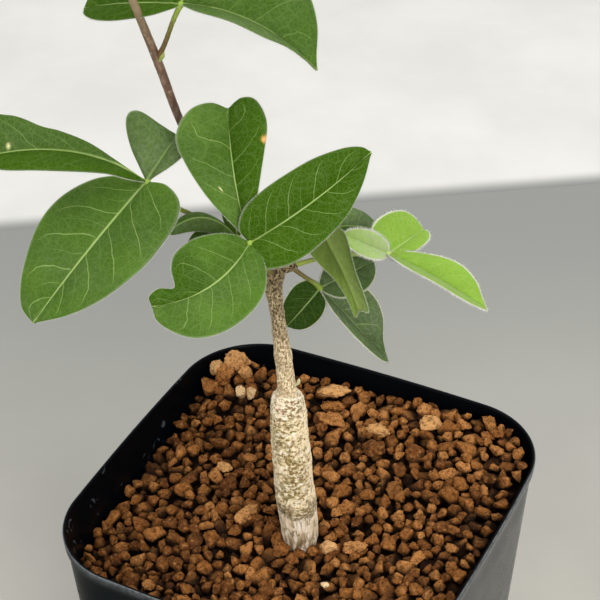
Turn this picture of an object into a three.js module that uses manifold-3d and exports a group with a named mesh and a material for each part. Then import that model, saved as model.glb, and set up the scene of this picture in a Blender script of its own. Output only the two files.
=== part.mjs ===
// A young caudex tree, Commiphora orbicularis, in a square nursery pot of baked-clay grains.
// Millimetres, +Z up. The origin is the middle of the pot's underside.
// The plant stands in a group of its own, turned about Z: there x runs to the right of its best
// side, y runs away behind it and z is the height above the pot's underside.
import * as THREE from 'three';
import { mergeVertices } from 'three/addons/utils/BufferGeometryUtils.js';
import Module from 'manifold-3d';

const wasm = await Module();
wasm.setup();

// Pot
const POT_WIDTH = 90;
const POT_HEIGHT = 80;
const POT_CORNER_RADIUS = 19.6;
const POT_TAPER = 0.08;
const POT_WALL = 1.1;
const POT_FLOOR = 1.6;
const SIDE_BULGE = 0.45;
const RIM_LIP_DEPTH = 3;
const RIM_LIP_WIDTH = 0.5;
const FOOT_BEVEL = 1.2;
const CORNER_STEPS = 6;
const SIDE_POINTS = 3;
const CORNER_DRAIN_RADIUS = 4;
const CORNER_DRAIN_PLACE = 21;
const SIDE_DRAIN_RADIUS = 2.5;
const SIDE_DRAIN_PLACE = 29;

// Soil
const SOIL_LEVEL = 73.5;
const SOIL_RISE_RIGHT = 0.1;
const SOIL_RISE_BACK = 0.04;
// Soil heaped in the pot's back corner: right, back.
const HEAP_PLACE = [-18, 50];
const HEAP_RISE = 3;
const HEAP_SPREAD = 7;
const GRAIN_PITCH = 6.9;
const GRAIN_RADIUS = 3.9;
const GRAIN_FLATNESS = 0.75;
const GRAIN_SEED = 27;
const BED_DEPTH = 1.6;
const STONE_SEED = 5;

// Plant
const PLANT_TURN = THREE.MathUtils.degToRad(27.1);
const FIT_GAP = 0.3;
const TRUNK_SIDES = 14;
const TRUNK_STEPS = 30;
const BARK_LUMP = 0.12;
const STALK_RADIUS = 0.55;
const JOINT_RADIUS = 1.05;
const BLADE_THICKNESS = 0.7;
const BLADE_ROWS = 7;
const HALF_COLUMNS = 2;
const BLADE_START = 0.03;
const BLADE_END = 0.975;

// Centre line of the caudex and neck: right, height, radius. It all stands at one depth.
const TRUNK_DEPTH = -10.5;
const TRUNK = [
  [1.5, 34, 1.2], [0.6, 40, 2.4], [-0.2, 53, 3], [-0.7, 66, 3], [-0.9, 71, 3.3], [-1.1, 76, 4.05],
  [-1.4, 81, 4.3], [-2.2, 91, 4.2], [-2.8, 104, 4], [-3, 110.5, 3.8], [-3, 114, 3.4],
  [-3.1, 116.4, 2.2], [-3.3, 120, 1.8], [-3.9, 130, 1.55], [-4.8, 140, 1.6], [-5.5, 144, 1.9],
  [-5.3, 148, 2.4], [-5.2, 150, 1.5],
];
const SPUR = [[-5.3, -10.5, 147.8], [-3.4, -10.6, 148.9], [-1.2, -10.4, 149.2]];
const SPUR_RADIUS = 1.25;
const TWIG = [
  [-5.4, -10.2, 148], [-7.6, -7, 152], [-10.8, -3, 154.5], [-15.3, 0, 159.5], [-19.4, 0, 167.6],
  [-23, -1, 178.2], [-26.4, -2, 191.7], [-30, -6, 207.1], [-33.5, -7.5, 220.1], [-36, -7, 233],
];
const TWIG_RADIUS = 0.85;

// Larger stones on the grains: right, back, radius.
const STONES = [
  [-16.4, 49.2, 3], [-20.8, 47, 1.8], [-18.4, 45, 2.1], [-13.8, 44.3, 2], [-15, 38.8, 1.5],
  [-12.5, 38.9, 1.5], [7.8, 37.6, 3], [6.6, 27.9, 2.9], [18, 22.4, 2.4], [30.1, 23.6, 2.5],
  [-13.7, -0.9, 3.2], [5.2, -13.9, 2.1],
];

// Half outlines of a leaflet, from base to tip: share of the length, share of the half width.
const HEART = [
  [0, 0], [0.1, 0.13], [0.35, 0.53], [0.65, 0.88], [0.85, 1], [1.02, 0.75], [1.06, 0.35], [1, 0],
];
const BLUNT = [
  [0, 0], [0, 0.45], [0.12, 0.85], [0.35, 1], [0.62, 0.9], [0.84, 0.62], [0.96, 0.3], [1, 0],
];
const LOBED = [
  [0, 0], [-0.06, 0.33], [-0.03, 0.75], [0.14, 1], [0.38, 0.98], [0.62, 0.8], [0.84, 0.42], [1, 0],
];
const OVAL = [
  [0, 0], [0.04, 0.32], [0.18, 0.77], [0.4, 1], [0.62, 0.98], [0.82, 0.75], [0.95, 0.38], [1, 0],
];
const ROUND = [
  [0, 0], [0, 0.5], [0.14, 0.88], [0.4, 1], [0.7, 1], [0.92, 0.85], [1.04, 0.45], [1, 0],
];
const BROAD = [
  [0, 0], [-0.2, 0.45], [-0.1, 0.8], [0.18, 1], [0.54, 0.97], [0.87, 0.64], [1, 0.22], [1, 0],
];
const TORN = [
  [0, 0], [0.09, 0.42], [0.25, 0.8], [0.43, 1], [0.62, 0.93], [0.74, 0.68], [0.8, 0.3], [0.9, 0.3], [1, 0],
];
const FULL = [
  [0, 0], [0.04, 0.32], [0.18, 0.77], [0.4, 1], [0.62, 0.97], [0.82, 0.74], [0.97, 0.42], [1, 0],
];
const TAPER = [
  [0, 0], [0, 0.6], [0.12, 1], [0.35, 0.85], [0.6, 0.52], [0.85, 0.35], [1.05, 0.3], [1, 0],
];
const SPOON = [
  [0, 0], [0.16, 0.08], [0.34, 0.3], [0.5, 0.48], [0.62, 0.56], [0.78, 0.88], [0.92, 1], [1, 0],
];
const FAN = [
  [0, 0], [0.17, 0.29], [0.36, 0.6], [0.58, 0.86], [0.78, 1], [0.93, 0.98], [1.01, 0.8], [1, 0.4], [1, 0],
];
const TWIN = [
  [0, 0], [0, 0.6], [0.12, 1], [0.35, 0.85], [0.6, 0.62], [0.85, 0.55], [1.05, 0.45], [1, 0],
];
const LONG = [
  [0, 0], [0.05, 0.2], [0.22, 0.62], [0.42, 0.92], [0.62, 1], [0.8, 0.76], [0.92, 0.3], [1, 0],
];
const DROP = [
  [0, 0], [0.04, 0.42], [0.22, 0.9], [0.48, 1], [0.71, 0.88], [0.86, 0.58], [0.95, 0.18], [1, 0],
];
const DART = [
  [0, 0], [0.05, 0.35], [0.2, 0.9], [0.42, 1], [0.62, 0.8], [0.78, 0.38], [0.9, 0.14], [1, 0],
];

const MATURE_GREEN = '#3f7d2c';
const DEEP_GREEN = '#2c5a2a';
const YOUNG_GREEN = '#8ec44a';

// Each leaf is a stalk with three leaflets at its joint. A leaflet has its tip, the way its upper
// side faces, and for each half its outline, its width as a share of the length and how many
// degrees it folds up from the midrib. Arch bows the midrib towards the upper side, sway to the
// right as seen from above with the tip ahead.
const LEAVES = [
  {
    name: 'leaf_front',
    colour: MATURE_GREEN,
    stalk: [[-5.3, -10.5, 148], [-5.4, -14, 150], [-6, -18, 153], [-8, -21.5, 157.5]],
    joint: [-9.4, -22, 162.6],
    leaflets: [
      {
        tip: [-13, -7, 183.5], faces: [0.05, -0.81, 0.58],
        left: [HEART, 0.42, 20], right: [HEART, 0.33, 34],
        arch: 0, sway: -0.9,
      },
      {
        tip: [14.2, -12, 176.3], faces: [-0.05, -0.74, 0.67],
        left: [BLUNT, 0.27, 28], right: [LOBED, 0.27, 8],
        arch: 0.5, sway: 1,
      },
      {
        tip: [-28, -33, 156], faces: [0.1, -0.55, 0.83],
        left: [ROUND, 0.41, 5], right: [TORN, 0.42, 25],
        arch: -0.6, sway: -2.8,
      },
    ],
  },
  {
    name: 'leaf_left',
    colour: MATURE_GREEN,
    stalk: [
      [-5.3, -10.5, 147.6], [-10.5, -9.6, 150], [-15.5, -7, 154.6], [-21.2, -6, 158.6], [-24.4, -8, 162.2],
    ],
    joint: [-29, -14, 171.8],
    leaflets: [
      {
        tip: [-52, -26, 147.4], faces: [-0.38, -0.64, 0.67],
        left: [LOBED, 0.34, 6], right: [FULL, 0.33, 8],
        arch: 1, sway: 0,
      },
      {
        tip: [-62.5, -22, 181.5], faces: [0.2, -0.3, 0.93],
        left: [LONG, 0.22, 22], right: [SPOON, 0.225, 30],
        arch: 4.5, sway: 1.8,
      },
      {
        tip: [-23, -8, 178.4], faces: [-0.2, -0.8, 0.55],
        left: [FAN, 0.95, 5], right: [FAN, 0.4, 30],
        arch: 0.3, sway: 0,
      },
    ],
  },
  {
    name: 'leaf_back_left',
    colour: DEEP_GREEN,
    stalk: [[-5.3, -10.5, 148], [-7.6, -11.3, 151.8], [-9.6, -11.5, 154]],
    joint: [-12.2, -11, 156.4],
    leaflets: [
      {
        tip: [-25.6, -14, 159.8], faces: [0.1, -0.75, 0.68],
        left: [OVAL, 0.19, 0], right: [OVAL, 0.25, -65],
        arch: 0, sway: 3.5,
      },
      {
        tip: [-22.2, -13, 155.2], faces: [0.1, -0.3, 0.95],
        left: [OVAL, 0.3, 20], right: [OVAL, 0.3, 20],
        arch: 1, sway: 0,
      },
      {
        tip: [-12.5, 0, 166.5], faces: [-0.2, -0.7, 0.6],
        left: [OVAL, 0.2, 15], right: [OVAL, 0.2, 15],
        arch: 0.5, sway: 0,
      },
    ],
  },
  {
    name: 'leaf_back_right',
    colour: DEEP_GREEN,
    stalk: [[-2, -10.4, 149], [-1.9, -10.5, 152.4], [0.9, -11.3, 156.4]],
    joint: [4.6, -12, 158.5],
    leaflets: [
      {
        tip: [11.7, -21, 145.2], faces: [0.3, 0.87, 0.2],
        left: [TAPER, 0.36, -4], right: [TWIN, 0.26, 6],
        arch: 0.6, sway: 0,
      },
      {
        tip: [17, 5, 145.5], faces: [0, -0.45, 0.9],
        left: [OVAL, 0.17, 28], right: [OVAL, 0.21, 5],
        arch: 1.5, sway: 0,
      },
      {
        tip: [4.5, 8, 157.5], faces: [0, -0.5, 0.85],
        left: [OVAL, 0.26, 15], right: [OVAL, 0.26, 15],
        arch: 1, sway: 0,
      },
    ],
  },
  {
    name: 'leaf_young',
    colour: YOUNG_GREEN,
    stalk: [[-2, -10.4, 149], [1, -10.8, 149.9], [6, -10.8, 151.4], [12, -11.2, 152]],
    joint: [17.7, -12, 152.4],
    leaflets: [
      {
        tip: [37, -20, 143.9], faces: [0.15, -0.52, 0.84],
        left: [LONG, 0.21, 8], right: [OVAL, 0.22, 62],
        arch: 1.2, sway: 0,
      },
      {
        tip: [25, -6, 154], faces: [0.3, -0.7, 0.66],
        left: [BROAD, 0.7, 5], right: [ROUND, 0.3, 30],
        arch: 0.3, sway: 0,
      },
      {
        tip: [9.2, -11.9, 158.6], faces: [-0.17, -0.61, 0.77],
        left: [OVAL, 0.32, 20], right: [OVAL, 0.3, 30],
        arch: 0.4, sway: 0,
      },
    ],
  },
  {
    name: 'leaf_low_right',
    colour: DEEP_GREEN,
    stalk: [[-2, -10.2, 149], [-0.6, -8.8, 146.4], [1.6, -6.8, 143], [3.2, -5.2, 140.6]],
    joint: [4.2, -4, 138.5],
    leaflets: [
      {
        tip: [-2.9, 0, 125.8], faces: [-0.32, -0.94, -0.12],
        left: [OVAL, 0.32, 5], right: [LOBED, 0.29, 8],
        arch: 0.6, sway: 0,
      },
      {
        tip: [18.6, -2, 117.4], faces: [0.45, -0.8, 0.35],
        left: [DART, 0.27, 12], right: [OVAL, 0.14, 50],
        arch: 0.5, sway: 0,
      },
      {
        tip: [15.5, 3, 140], faces: [0.2, -0.7, 0.69],
        left: [OVAL, 0.33, 15], right: [OVAL, 0.36, 15],
        arch: 0.5, sway: 0,
      },
    ],
  },
  {
    name: 'leaf_upper',
    colour: MATURE_GREEN,
    stalk: [[-26.4, -2, 191.7], [-24.6, -3.4, 196], [-22.5, -5, 202]],
    joint: [-21, -5, 205],
    leaflets: [
      {
        tip: [4, -14, 195.5], faces: [0.14, -0.56, 0.82],
        left: [DROP, 0.42, 12], right: [DART, 0.2, 45],
        arch: 3, sway: -1.6,
      },
      {
        tip: [-40.5, 7.5, 198], faces: [-0.24, -0.47, 0.85],
        left: [OVAL, 0.2, 20], right: [OVAL, 0.34, 15],
        arch: 1, sway: 0,
      },
      {
        tip: [-16.5, 10, 218], faces: [0, -0.8, 0.6],
        left: [HEART, 0.38, 14], right: [HEART, 0.38, 14],
        arch: -1, sway: 0,
      },
    ],
  },
  {
    name: 'leaf_top_left',
    colour: MATURE_GREEN,
    stalk: [[-33.5, -7.5, 220.1], [-38, -9, 224.5], [-44, -10.6, 229.5]],
    joint: [-50, -12, 232],
    leaflets: [
      {
        tip: [-71, -19, 227], faces: [0.1, -0.3, 0.95],
        left: [OVAL, 0.34, 18], right: [OVAL, 0.34, 18],
        arch: 2.5, sway: 0,
      },
      {
        tip: [-56, -29, 233], faces: [-0.2, -0.2, 0.95],
        left: [LOBED, 0.36, 14], right: [LOBED, 0.36, 14],
        arch: 1.5, sway: 0,
      },
      {
        tip: [-60, 8, 237], faces: [0.1, -0.3, 0.95],
        left: [HEART, 0.36, 16], right: [HEART, 0.36, 16],
        arch: 1.5, sway: 0,
      },
    ],
  },
  {
    name: 'leaf_top',
    colour: YOUNG_GREEN,
    stalk: [[-36, -7, 233], [-35.6, -6.9, 238]],
    joint: [-34, -6.5, 243],
    leaflets: [
      {
        tip: [-20, -15, 248], faces: [0, -0.3, 0.95],
        left: [LONG, 0.3, 30], right: [LONG, 0.3, 30],
        arch: 1, sway: 0,
      },
      {
        tip: [-35, 6, 251], faces: [0, -0.3, 0.95],
        left: [OVAL, 0.34, 25], right: [OVAL, 0.34, 25],
        arch: 0.8, sway: 0,
      },
      {
        tip: [-45, -15, 248], faces: [0, -0.3, 0.95],
        left: [OVAL, 0.34, 28], right: [OVAL, 0.34, 28],
        arch: 0.8, sway: 0,
      },
    ],
  },
];

function vector([x, y, z]) {
  return new THREE.Vector3(x, y, z);
}

function seededRandom(seed) {
  let state = seed;
  return () => {
    state = (Math.imul(state, 1664525) + 1013904223) >>> 0;
    return state / 2 ** 32;
  };
}

function toSolid(geometry) {
  const bare = geometry.clone();
  bare.deleteAttribute('normal');
  bare.deleteAttribute('uv');
  const merged = mergeVertices(bare, 1e-4);
  const vertProperties = Float32Array.from(merged.attributes.position.array);
  const triVerts = Uint32Array.from(merged.index.array);
  return new wasm.Manifold(new wasm.Mesh({ numProp: 3, vertProperties, triVerts }));
}

function toGeometry(solid) {
  const { vertProperties, triVerts } = solid.getMesh();
  const geometry = new THREE.BufferGeometry();
  geometry.setAttribute('position', new THREE.BufferAttribute(vertProperties, 3));
  geometry.setIndex(new THREE.BufferAttribute(triVerts, 1));
  geometry.computeVertexNormals();
  return geometry;
}

// The largest connected body of a solid, without the scraps that a cut leaves loose.
function mainBody(solid) {
  const bodies = solid.decompose();
  return bodies.reduce((most, body) => (body.volume() > most.volume() ? body : most));
}

function nodeMesh(name, geometry, colour, roughness) {
  const material = new THREE.MeshStandardMaterial({ color: colour, roughness, metalness: 0 });
  const mesh = new THREE.Mesh(geometry, material);
  mesh.name = name;
  return mesh;
}

// A closed skin through rings of equal length, each counter-clockwise from above, lowest first.
function loft(rings) {
  const sides = rings[0].length;
  const points = rings.flat();
  const faces = [];
  for (let ring = 0; ring < rings.length - 1; ring += 1) {
    for (let side = 0; side < sides; side += 1) {
      const next = (side + 1) % sides;
      const [a, b] = [ring * sides + side, ring * sides + next];
      faces.push(a, b, b + sides, a, b + sides, a + sides);
    }
  }
  const last = points.length - sides;
  const [low, high] = [points.length, points.length + 1];
  points.push(middle(rings[0]), middle(rings[rings.length - 1]));
  for (let side = 0; side < sides; side += 1) {
    const next = (side + 1) % sides;
    faces.push(low, next, side, high, last + side, last + next);
  }
  const geometry = new THREE.BufferGeometry().setFromPoints(points);
  geometry.setIndex(faces);
  return geometry;
}

function middle(ring) {
  const sum = ring.reduce((total, point) => total.add(point), new THREE.Vector3());
  return sum.divideScalar(ring.length);
}

// The pot's plan at a height: a square with round corners and faintly bowed sides. Inset moves
// it inwards by that much all round, and top gives each point its own height.
function potRing(height, inset, top = () => height) {
  const narrowing = (POT_HEIGHT - height) * POT_TAPER + inset;
  const half = POT_WIDTH / 2 - narrowing;
  const radius = POT_CORNER_RADIUS - narrowing;
  const straight = half - radius;
  const quarter = [];
  for (let step = 0; step <= CORNER_STEPS; step += 1) {
    const angle = (step / CORNER_STEPS) * (Math.PI / 2);
    quarter.push([straight + radius * Math.cos(angle), straight + radius * Math.sin(angle)]);
  }
  for (let step = 1; step <= SIDE_POINTS; step += 1) {
    const along = (2 * step) / (SIDE_POINTS + 1) - 1;
    quarter.push([-along * straight, half + SIDE_BULGE * (1 - along * along)]);
  }
  const ring = [];
  for (let turn = 0; turn < 4; turn += 1) {
    const [cos, sin] = [[1, 0], [0, 1], [-1, 0], [0, -1]][turn];
    for (const [x, y] of quarter) {
      const [px, py] = [x * cos - y * sin, x * sin + y * cos];
      ring.push(new THREE.Vector3(px, py, top(px, py)));
    }
  }
  return ring;
}

function drain(radius, x, y) {
  const hole = new THREE.CylinderGeometry(radius, radius, 4 * POT_FLOOR, 10);
  hole.rotateX(Math.PI / 2);
  hole.translate(x, y, 0);
  return toSolid(hole);
}

function potGeometry() {
  const lipFoot = POT_HEIGHT - RIM_LIP_DEPTH - RIM_LIP_WIDTH;
  const outside = toSolid(loft([
    potRing(0, RIM_LIP_WIDTH + FOOT_BEVEL),
    potRing(FOOT_BEVEL, RIM_LIP_WIDTH),
    potRing(lipFoot, RIM_LIP_WIDTH),
    potRing(lipFoot + RIM_LIP_WIDTH, 0),
    potRing(POT_HEIGHT, 0),
  ]));
  const inside = toSolid(loft([
    potRing(POT_FLOOR, RIM_LIP_WIDTH + POT_WALL),
    potRing(lipFoot, RIM_LIP_WIDTH + POT_WALL),
    potRing(lipFoot + RIM_LIP_WIDTH, POT_WALL),
    potRing(POT_HEIGHT + 1, POT_WALL),
  ]));
  const drains = [];
  for (let turn = 0; turn < 4; turn += 1) {
    const angle = (turn * Math.PI) / 2;
    const [cos, sin] = [Math.cos(angle), Math.sin(angle)];
    const corner = CORNER_DRAIN_PLACE;
    drains.push(drain(CORNER_DRAIN_RADIUS, corner * (cos - sin), corner * (cos + sin)));
    drains.push(drain(SIDE_DRAIN_RADIUS, SIDE_DRAIN_PLACE * cos, SIDE_DRAIN_PLACE * sin));
  }
  return toGeometry(outside.subtract(inside).subtract(wasm.Manifold.union(drains)));
}

// Height of the soil over a point of the pot. It lies higher at the plant's right and back.
function soilLevel(x, y) {
  const right = x * Math.cos(PLANT_TURN) + y * Math.sin(PLANT_TURN);
  const back = y * Math.cos(PLANT_TURN) - x * Math.sin(PLANT_TURN);
  const fromHeap = Math.hypot(right - HEAP_PLACE[0], back - HEAP_PLACE[1]) / HEAP_SPREAD;
  const heap = HEAP_RISE * Math.exp(-(fromHeap ** 2) / 2);
  return SOIL_LEVEL + SOIL_RISE_RIGHT * right + SOIL_RISE_BACK * back + heap;
}

// One rough grain: an icosahedron with its corners pushed in and out.
function grain(x, y, z, radius, random) {
  const shape = new THREE.IcosahedronGeometry(radius, 0);
  shape.deleteAttribute('normal');
  shape.deleteAttribute('uv');
  const merged = mergeVertices(shape, 1e-3);
  const corners = merged.attributes.position;
  for (let index = 0; index < corners.count; index += 1) {
    const push = 0.82 + 0.36 * random();
    const corner = new THREE.Vector3().fromBufferAttribute(corners, index).multiplyScalar(push);
    corners.setXYZ(index, ...corner.toArray());
  }
  merged.rotateX(random() * Math.PI);
  merged.rotateZ(random() * Math.PI);
  merged.scale(1, 1, GRAIN_FLATNESS);
  merged.translate(x, y, z);
  return toSolid(merged);
}

function soilGeometry(trunkHole) {
  const random = seededRandom(GRAIN_SEED);
  const inset = RIM_LIP_WIDTH + POT_WALL + FIT_GAP;
  const bedTop = potRing(SOIL_LEVEL, inset, (x, y) => soilLevel(x, y) - BED_DEPTH);
  const bed = toSolid(loft([potRing(POT_FLOOR + FIT_GAP, inset), bedTop]));
  const cavity = toSolid(loft([potRing(POT_FLOOR + FIT_GAP, inset), potRing(POT_HEIGHT, inset)]));
  const grains = [];
  const reach = Math.ceil(POT_WIDTH / 2 / GRAIN_PITCH) + 1;
  const rowPitch = GRAIN_PITCH * Math.sqrt(0.75);
  for (let row = -reach; row <= reach; row += 1) {
    for (let column = -reach; column <= reach; column += 1) {
      const x = (column + (row % 2) / 2 + 0.3 * (random() - 0.5)) * GRAIN_PITCH;
      const y = row * rowPitch + 0.3 * (random() - 0.5) * GRAIN_PITCH;
      const radius = GRAIN_RADIUS * (0.88 + 0.24 * random());
      const z = soilLevel(x, y) - radius * GRAIN_FLATNESS + random() - 0.3;
      const inPot = Math.max(Math.abs(x), Math.abs(y)) < POT_WIDTH / 2;
      if (inPot) grains.push(grain(x, y, z, radius, random));
    }
  }
  const stoneRandom = seededRandom(STONE_SEED);
  for (const [right, back, radius] of STONES) {
    const place = new THREE.Vector2(right, back).rotateAround(new THREE.Vector2(), PLANT_TURN);
    const z = soilLevel(place.x, place.y) + radius * 0.2;
    grains.push(grain(place.x, place.y, z, radius, stoneRandom));
  }
  const heap = wasm.Manifold.union([bed, ...grains]).intersect(cavity).subtract(trunkHole);
  return toGeometry(mainBody(heap));
}

// The caudex and neck, or with a gap the room they need: wider and longer by that gap.
function trunkSolid(gap) {
  const middles = TRUNK.map(([x, z]) => new THREE.Vector3(x, TRUNK_DEPTH, z));
  const radii = TRUNK.map(([, , radius], index) => new THREE.Vector2(index, radius));
  const line = new THREE.CatmullRomCurve3(middles);
  const girth = new THREE.SplineCurve(radii);
  const rings = [];
  for (let step = 0; step <= TRUNK_STEPS; step += 1) {
    const share = step / TRUNK_STEPS;
    const centre = line.getPoint(share);
    const radius = girth.getPoint(share).y + gap;
    const ring = [];
    for (let side = 0; side < TRUNK_SIDES; side += 1) {
      const angle = (side / TRUNK_SIDES) * 2 * Math.PI;
      const lump = BARK_LUMP * Math.sin(3 * angle + 0.9 * step) * Math.sin(1.7 * step + side);
      const reach = radius + lump;
      const out = new THREE.Vector3(reach * Math.cos(angle), reach * Math.sin(angle), 0);
      ring.push(out.add(centre));
    }
    rings.push(ring);
  }
  if (gap > 0) {
    rings.unshift(raised(rings[0], -gap));
    rings.push(raised(rings[rings.length - 1], gap));
  }
  return toSolid(loft(rings)).add(tubeSolid(SPUR, SPUR_RADIUS, 8, 4, gap));
}

function raised(ring, rise) {
  return ring.map((point) => point.clone().add(new THREE.Vector3(0, 0, rise)));
}

// A round bar along a smooth line through the points, or with a gap the room it needs.
function tubeSolid(points, radius, sides, steps, gap = 0) {
  const section = new THREE.Shape().absarc(0, 0, radius + gap, 0, 2 * Math.PI);
  const line = points.map(vector);
  const last = line[line.length - 1];
  const onward = last.clone().sub(line[line.length - 2]).normalize();
  last.addScaledVector(onward, gap);
  const path = new THREE.CatmullRomCurve3(line);
  const options = { steps, curveSegments: sides / 2, bevelEnabled: false, extrudePath: path };
  return toSolid(new THREE.ExtrudeGeometry(section, options));
}

// A point of a half outline at a share of its run, smooth through the listed points.
function outlinePoint(outline, share) {
  return new THREE.SplineCurve(outline.map((pair) => new THREE.Vector2(...pair))).getPoint(share);
}

// Middle surface of a leaflet as rows of points from base to tip, each row from left to right.
function bladeRows(joint, leaflet) {
  const base = vector(joint);
  const span = vector(leaflet.tip).sub(base);
  const length = span.length();
  const ahead = span.clone().normalize();
  const faces = vector(leaflet.faces).projectOnPlane(ahead).normalize();
  const right = new THREE.Vector3().crossVectors(ahead, faces);
  const rows = [];
  for (let row = 0; row <= BLADE_ROWS; row += 1) {
    const share = BLADE_START + (BLADE_END - BLADE_START) * (row / BLADE_ROWS);
    const points = [];
    for (let column = -HALF_COLUMNS; column <= HALF_COLUMNS; column += 1) {
      const [outline, width, fold] = column < 0 ? leaflet.left : leaflet.right;
      const out = Math.abs(column) / HALF_COLUMNS;
      const edge = outlinePoint(outline, share);
      const along = share * (1 - out) + edge.x * out;
      const across = edge.y * width * length * out;
      const tilt = THREE.MathUtils.degToRad(fold);
      const bow = 4 * along * (1 - along);
      points.push(base.clone()
        .addScaledVector(span, along)
        .addScaledVector(faces, bow * leaflet.arch + across * Math.sin(tilt))
        .addScaledVector(right, bow * leaflet.sway + Math.sign(column) * across * Math.cos(tilt)));
    }
    rows.push(points);
  }
  return rows;
}

// Thickens rows of points into a closed blade, with its triangles alike on both faces.
function bladeSolid(rows) {
  const columns = rows[0].length;
  const top = [];
  for (let row = 0; row < rows.length - 1; row += 1) {
    for (let column = 0; column < columns - 1; column += 1) {
      const a = row * columns + column;
      const [b, c, d] = [a + columns, a + columns + 1, a + 1];
      top.push(a, c, b, a, d, c);
    }
  }
  const sheet = new THREE.BufferGeometry().setFromPoints(rows.flat());
  sheet.setIndex(top);
  sheet.computeVertexNormals();
  const points = [];
  for (const side of [1, -1]) {
    rows.flat().forEach((point, index) => {
      const normal = new THREE.Vector3().fromBufferAttribute(sheet.attributes.normal, index);
      points.push(point.clone().addScaledVector(normal, (side * BLADE_THICKNESS) / 2));
    });
  }
  const half = rows.length * columns;
  const faces = [...top];
  for (let index = 0; index < top.length; index += 3) {
    faces.push(top[index] + half, top[index + 2] + half, top[index + 1] + half);
  }
  const border = edgeLoop(rows.length, columns);
  border.forEach((from, index) => {
    const to = border[(index + 1) % border.length];
    faces.push(from, from + half, to + half, from, to + half, to);
  });
  const blade = new THREE.BufferGeometry().setFromPoints(points);
  blade.setIndex(faces);
  return toSolid(blade);
}

// Indices round the border of a grid of points, up its right side first.
function edgeLoop(rowCount, columns) {
  const loop = [];
  for (let row = 0; row < rowCount - 1; row += 1) loop.push(row * columns + columns - 1);
  for (let column = columns - 1; column > 0; column -= 1) loop.push((rowCount - 1) * columns + column);
  for (let row = rowCount - 1; row > 0; row -= 1) loop.push(row * columns);
  for (let column = 0; column < columns - 1; column += 1) loop.push(column);
  return loop;
}

function leafGeometry(leaf, wood) {
  const stalk = tubeSolid([...leaf.stalk, leaf.joint], STALK_RADIUS, 6, 7);
  const knob = new THREE.IcosahedronGeometry(JOINT_RADIUS, 0);
  knob.translate(...leaf.joint);
  const blades = leaf.leaflets.map((leaflet) => bladeSolid(bladeRows(leaf.joint, leaflet)));
  const whole = wasm.Manifold.union([stalk, toSolid(knob), ...blades]);
  return toGeometry(mainBody(whole.subtract(wood)));
}

const plant = new THREE.Group();
plant.rotation.z = PLANT_TURN;
const trunk = trunkSolid(0);
const trunkClearance = trunkSolid(FIT_GAP);
const twig = mainBody(tubeSolid(TWIG, TWIG_RADIUS, 8, 26).subtract(trunkClearance));
const twigClearance = tubeSolid(TWIG, TWIG_RADIUS, 8, 26, FIT_GAP);
const woodClearance = trunkClearance.add(twigClearance);
plant.add(nodeMesh('caudex', toGeometry(trunk), '#b3a58a', 0.9));
plant.add(nodeMesh('twig', toGeometry(twig), '#6d4a3c', 0.7));
for (const leaf of LEAVES) {
  plant.add(nodeMesh(leaf.name, leafGeometry(leaf, woodClearance), leaf.colour, 0.5));
}

const pottedPlant = new THREE.Group();
const trunkHole = trunkClearance.rotate([0, 0, THREE.MathUtils.radToDeg(PLANT_TURN)]);
pottedPlant.add(nodeMesh('pot', potGeometry(), '#16191b', 0.35));
pottedPlant.add(nodeMesh('soil', soilGeometry(trunkHole), '#8a5026', 0.95));
pottedPlant.add(plant);

export default pottedPlant;
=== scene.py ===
"""Looks of a potted young caudex tree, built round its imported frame.

Sizes are in millimetres unless a name says otherwise. The plant's own axes are x to the right of
its best side, y away behind it and z up from the pot's underside.
"""
import math
from functools import partial, reduce

import bmesh
import bpy
import numpy as np
from mathutils import Matrix, Vector, noise


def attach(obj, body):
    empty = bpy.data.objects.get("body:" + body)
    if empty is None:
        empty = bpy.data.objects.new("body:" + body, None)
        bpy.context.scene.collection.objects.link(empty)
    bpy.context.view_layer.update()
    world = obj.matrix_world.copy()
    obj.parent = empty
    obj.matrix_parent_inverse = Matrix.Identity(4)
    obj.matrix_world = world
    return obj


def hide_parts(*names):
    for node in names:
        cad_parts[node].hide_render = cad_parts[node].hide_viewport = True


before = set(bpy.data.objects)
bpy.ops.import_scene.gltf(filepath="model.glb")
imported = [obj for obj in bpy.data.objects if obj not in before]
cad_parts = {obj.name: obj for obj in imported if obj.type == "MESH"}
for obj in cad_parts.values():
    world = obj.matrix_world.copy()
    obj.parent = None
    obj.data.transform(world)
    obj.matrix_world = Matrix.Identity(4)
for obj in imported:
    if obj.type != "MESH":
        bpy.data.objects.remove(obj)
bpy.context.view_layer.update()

MM = 0.001
# The plant's best side faces the camera, this far round from the pot's front
PLANT_TURN = math.radians(27.1)
# Cosine and sine of the four quarter turns
QUARTERS = [(1, 0), (0, 1), (-1, 0), (0, -1)]

# Pot
POT_WIDTH = 90.0
POT_HEIGHT = 80.0
POT_CORNER_RADIUS = 19.6
POT_TAPER = 0.08
POT_WALL = 1.1
POT_FLOOR = 1.6
SIDE_BULGE = 0.45
RIM_LIP_DEPTH = 3.0
RIM_LIP_WIDTH = 0.5
FOOT_BEVEL = 1.2
CORNER_STEPS = 24
SIDE_POINTS = 9
WALL_ROWS = 22
# Drain holes, repeated at each quarter turn: radius, x, y
DRAINS = [(4.0, 21.0, 21.0), (2.5, 29.0, 0.0)]
DRAIN_SIDES = 32

# Soil
SOIL_LEVEL = 73.5
SOIL_RISE_RIGHT = 0.1
SOIL_RISE_BACK = 0.04
# Low heaps: right, back, rise, spread
HEAPS = [(-18, 50, 4.0, 7.0), (-1, -13, 1.2, 5.0)]
BED_DEPTH = 6.0
BED_GAP = 0.3
SEEN_DEPTH = 3.1
GRAIN_TRIES = 8000
GRAIN_RADII = (1.1, 2.5)
GRAIN_SEED = 41
STONE_SEED = 8
# Share of their radii at which two grains touch, and how far off a grain can still matter
GRAIN_PACKING = 0.95
GRAIN_REACH = 6.5
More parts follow.
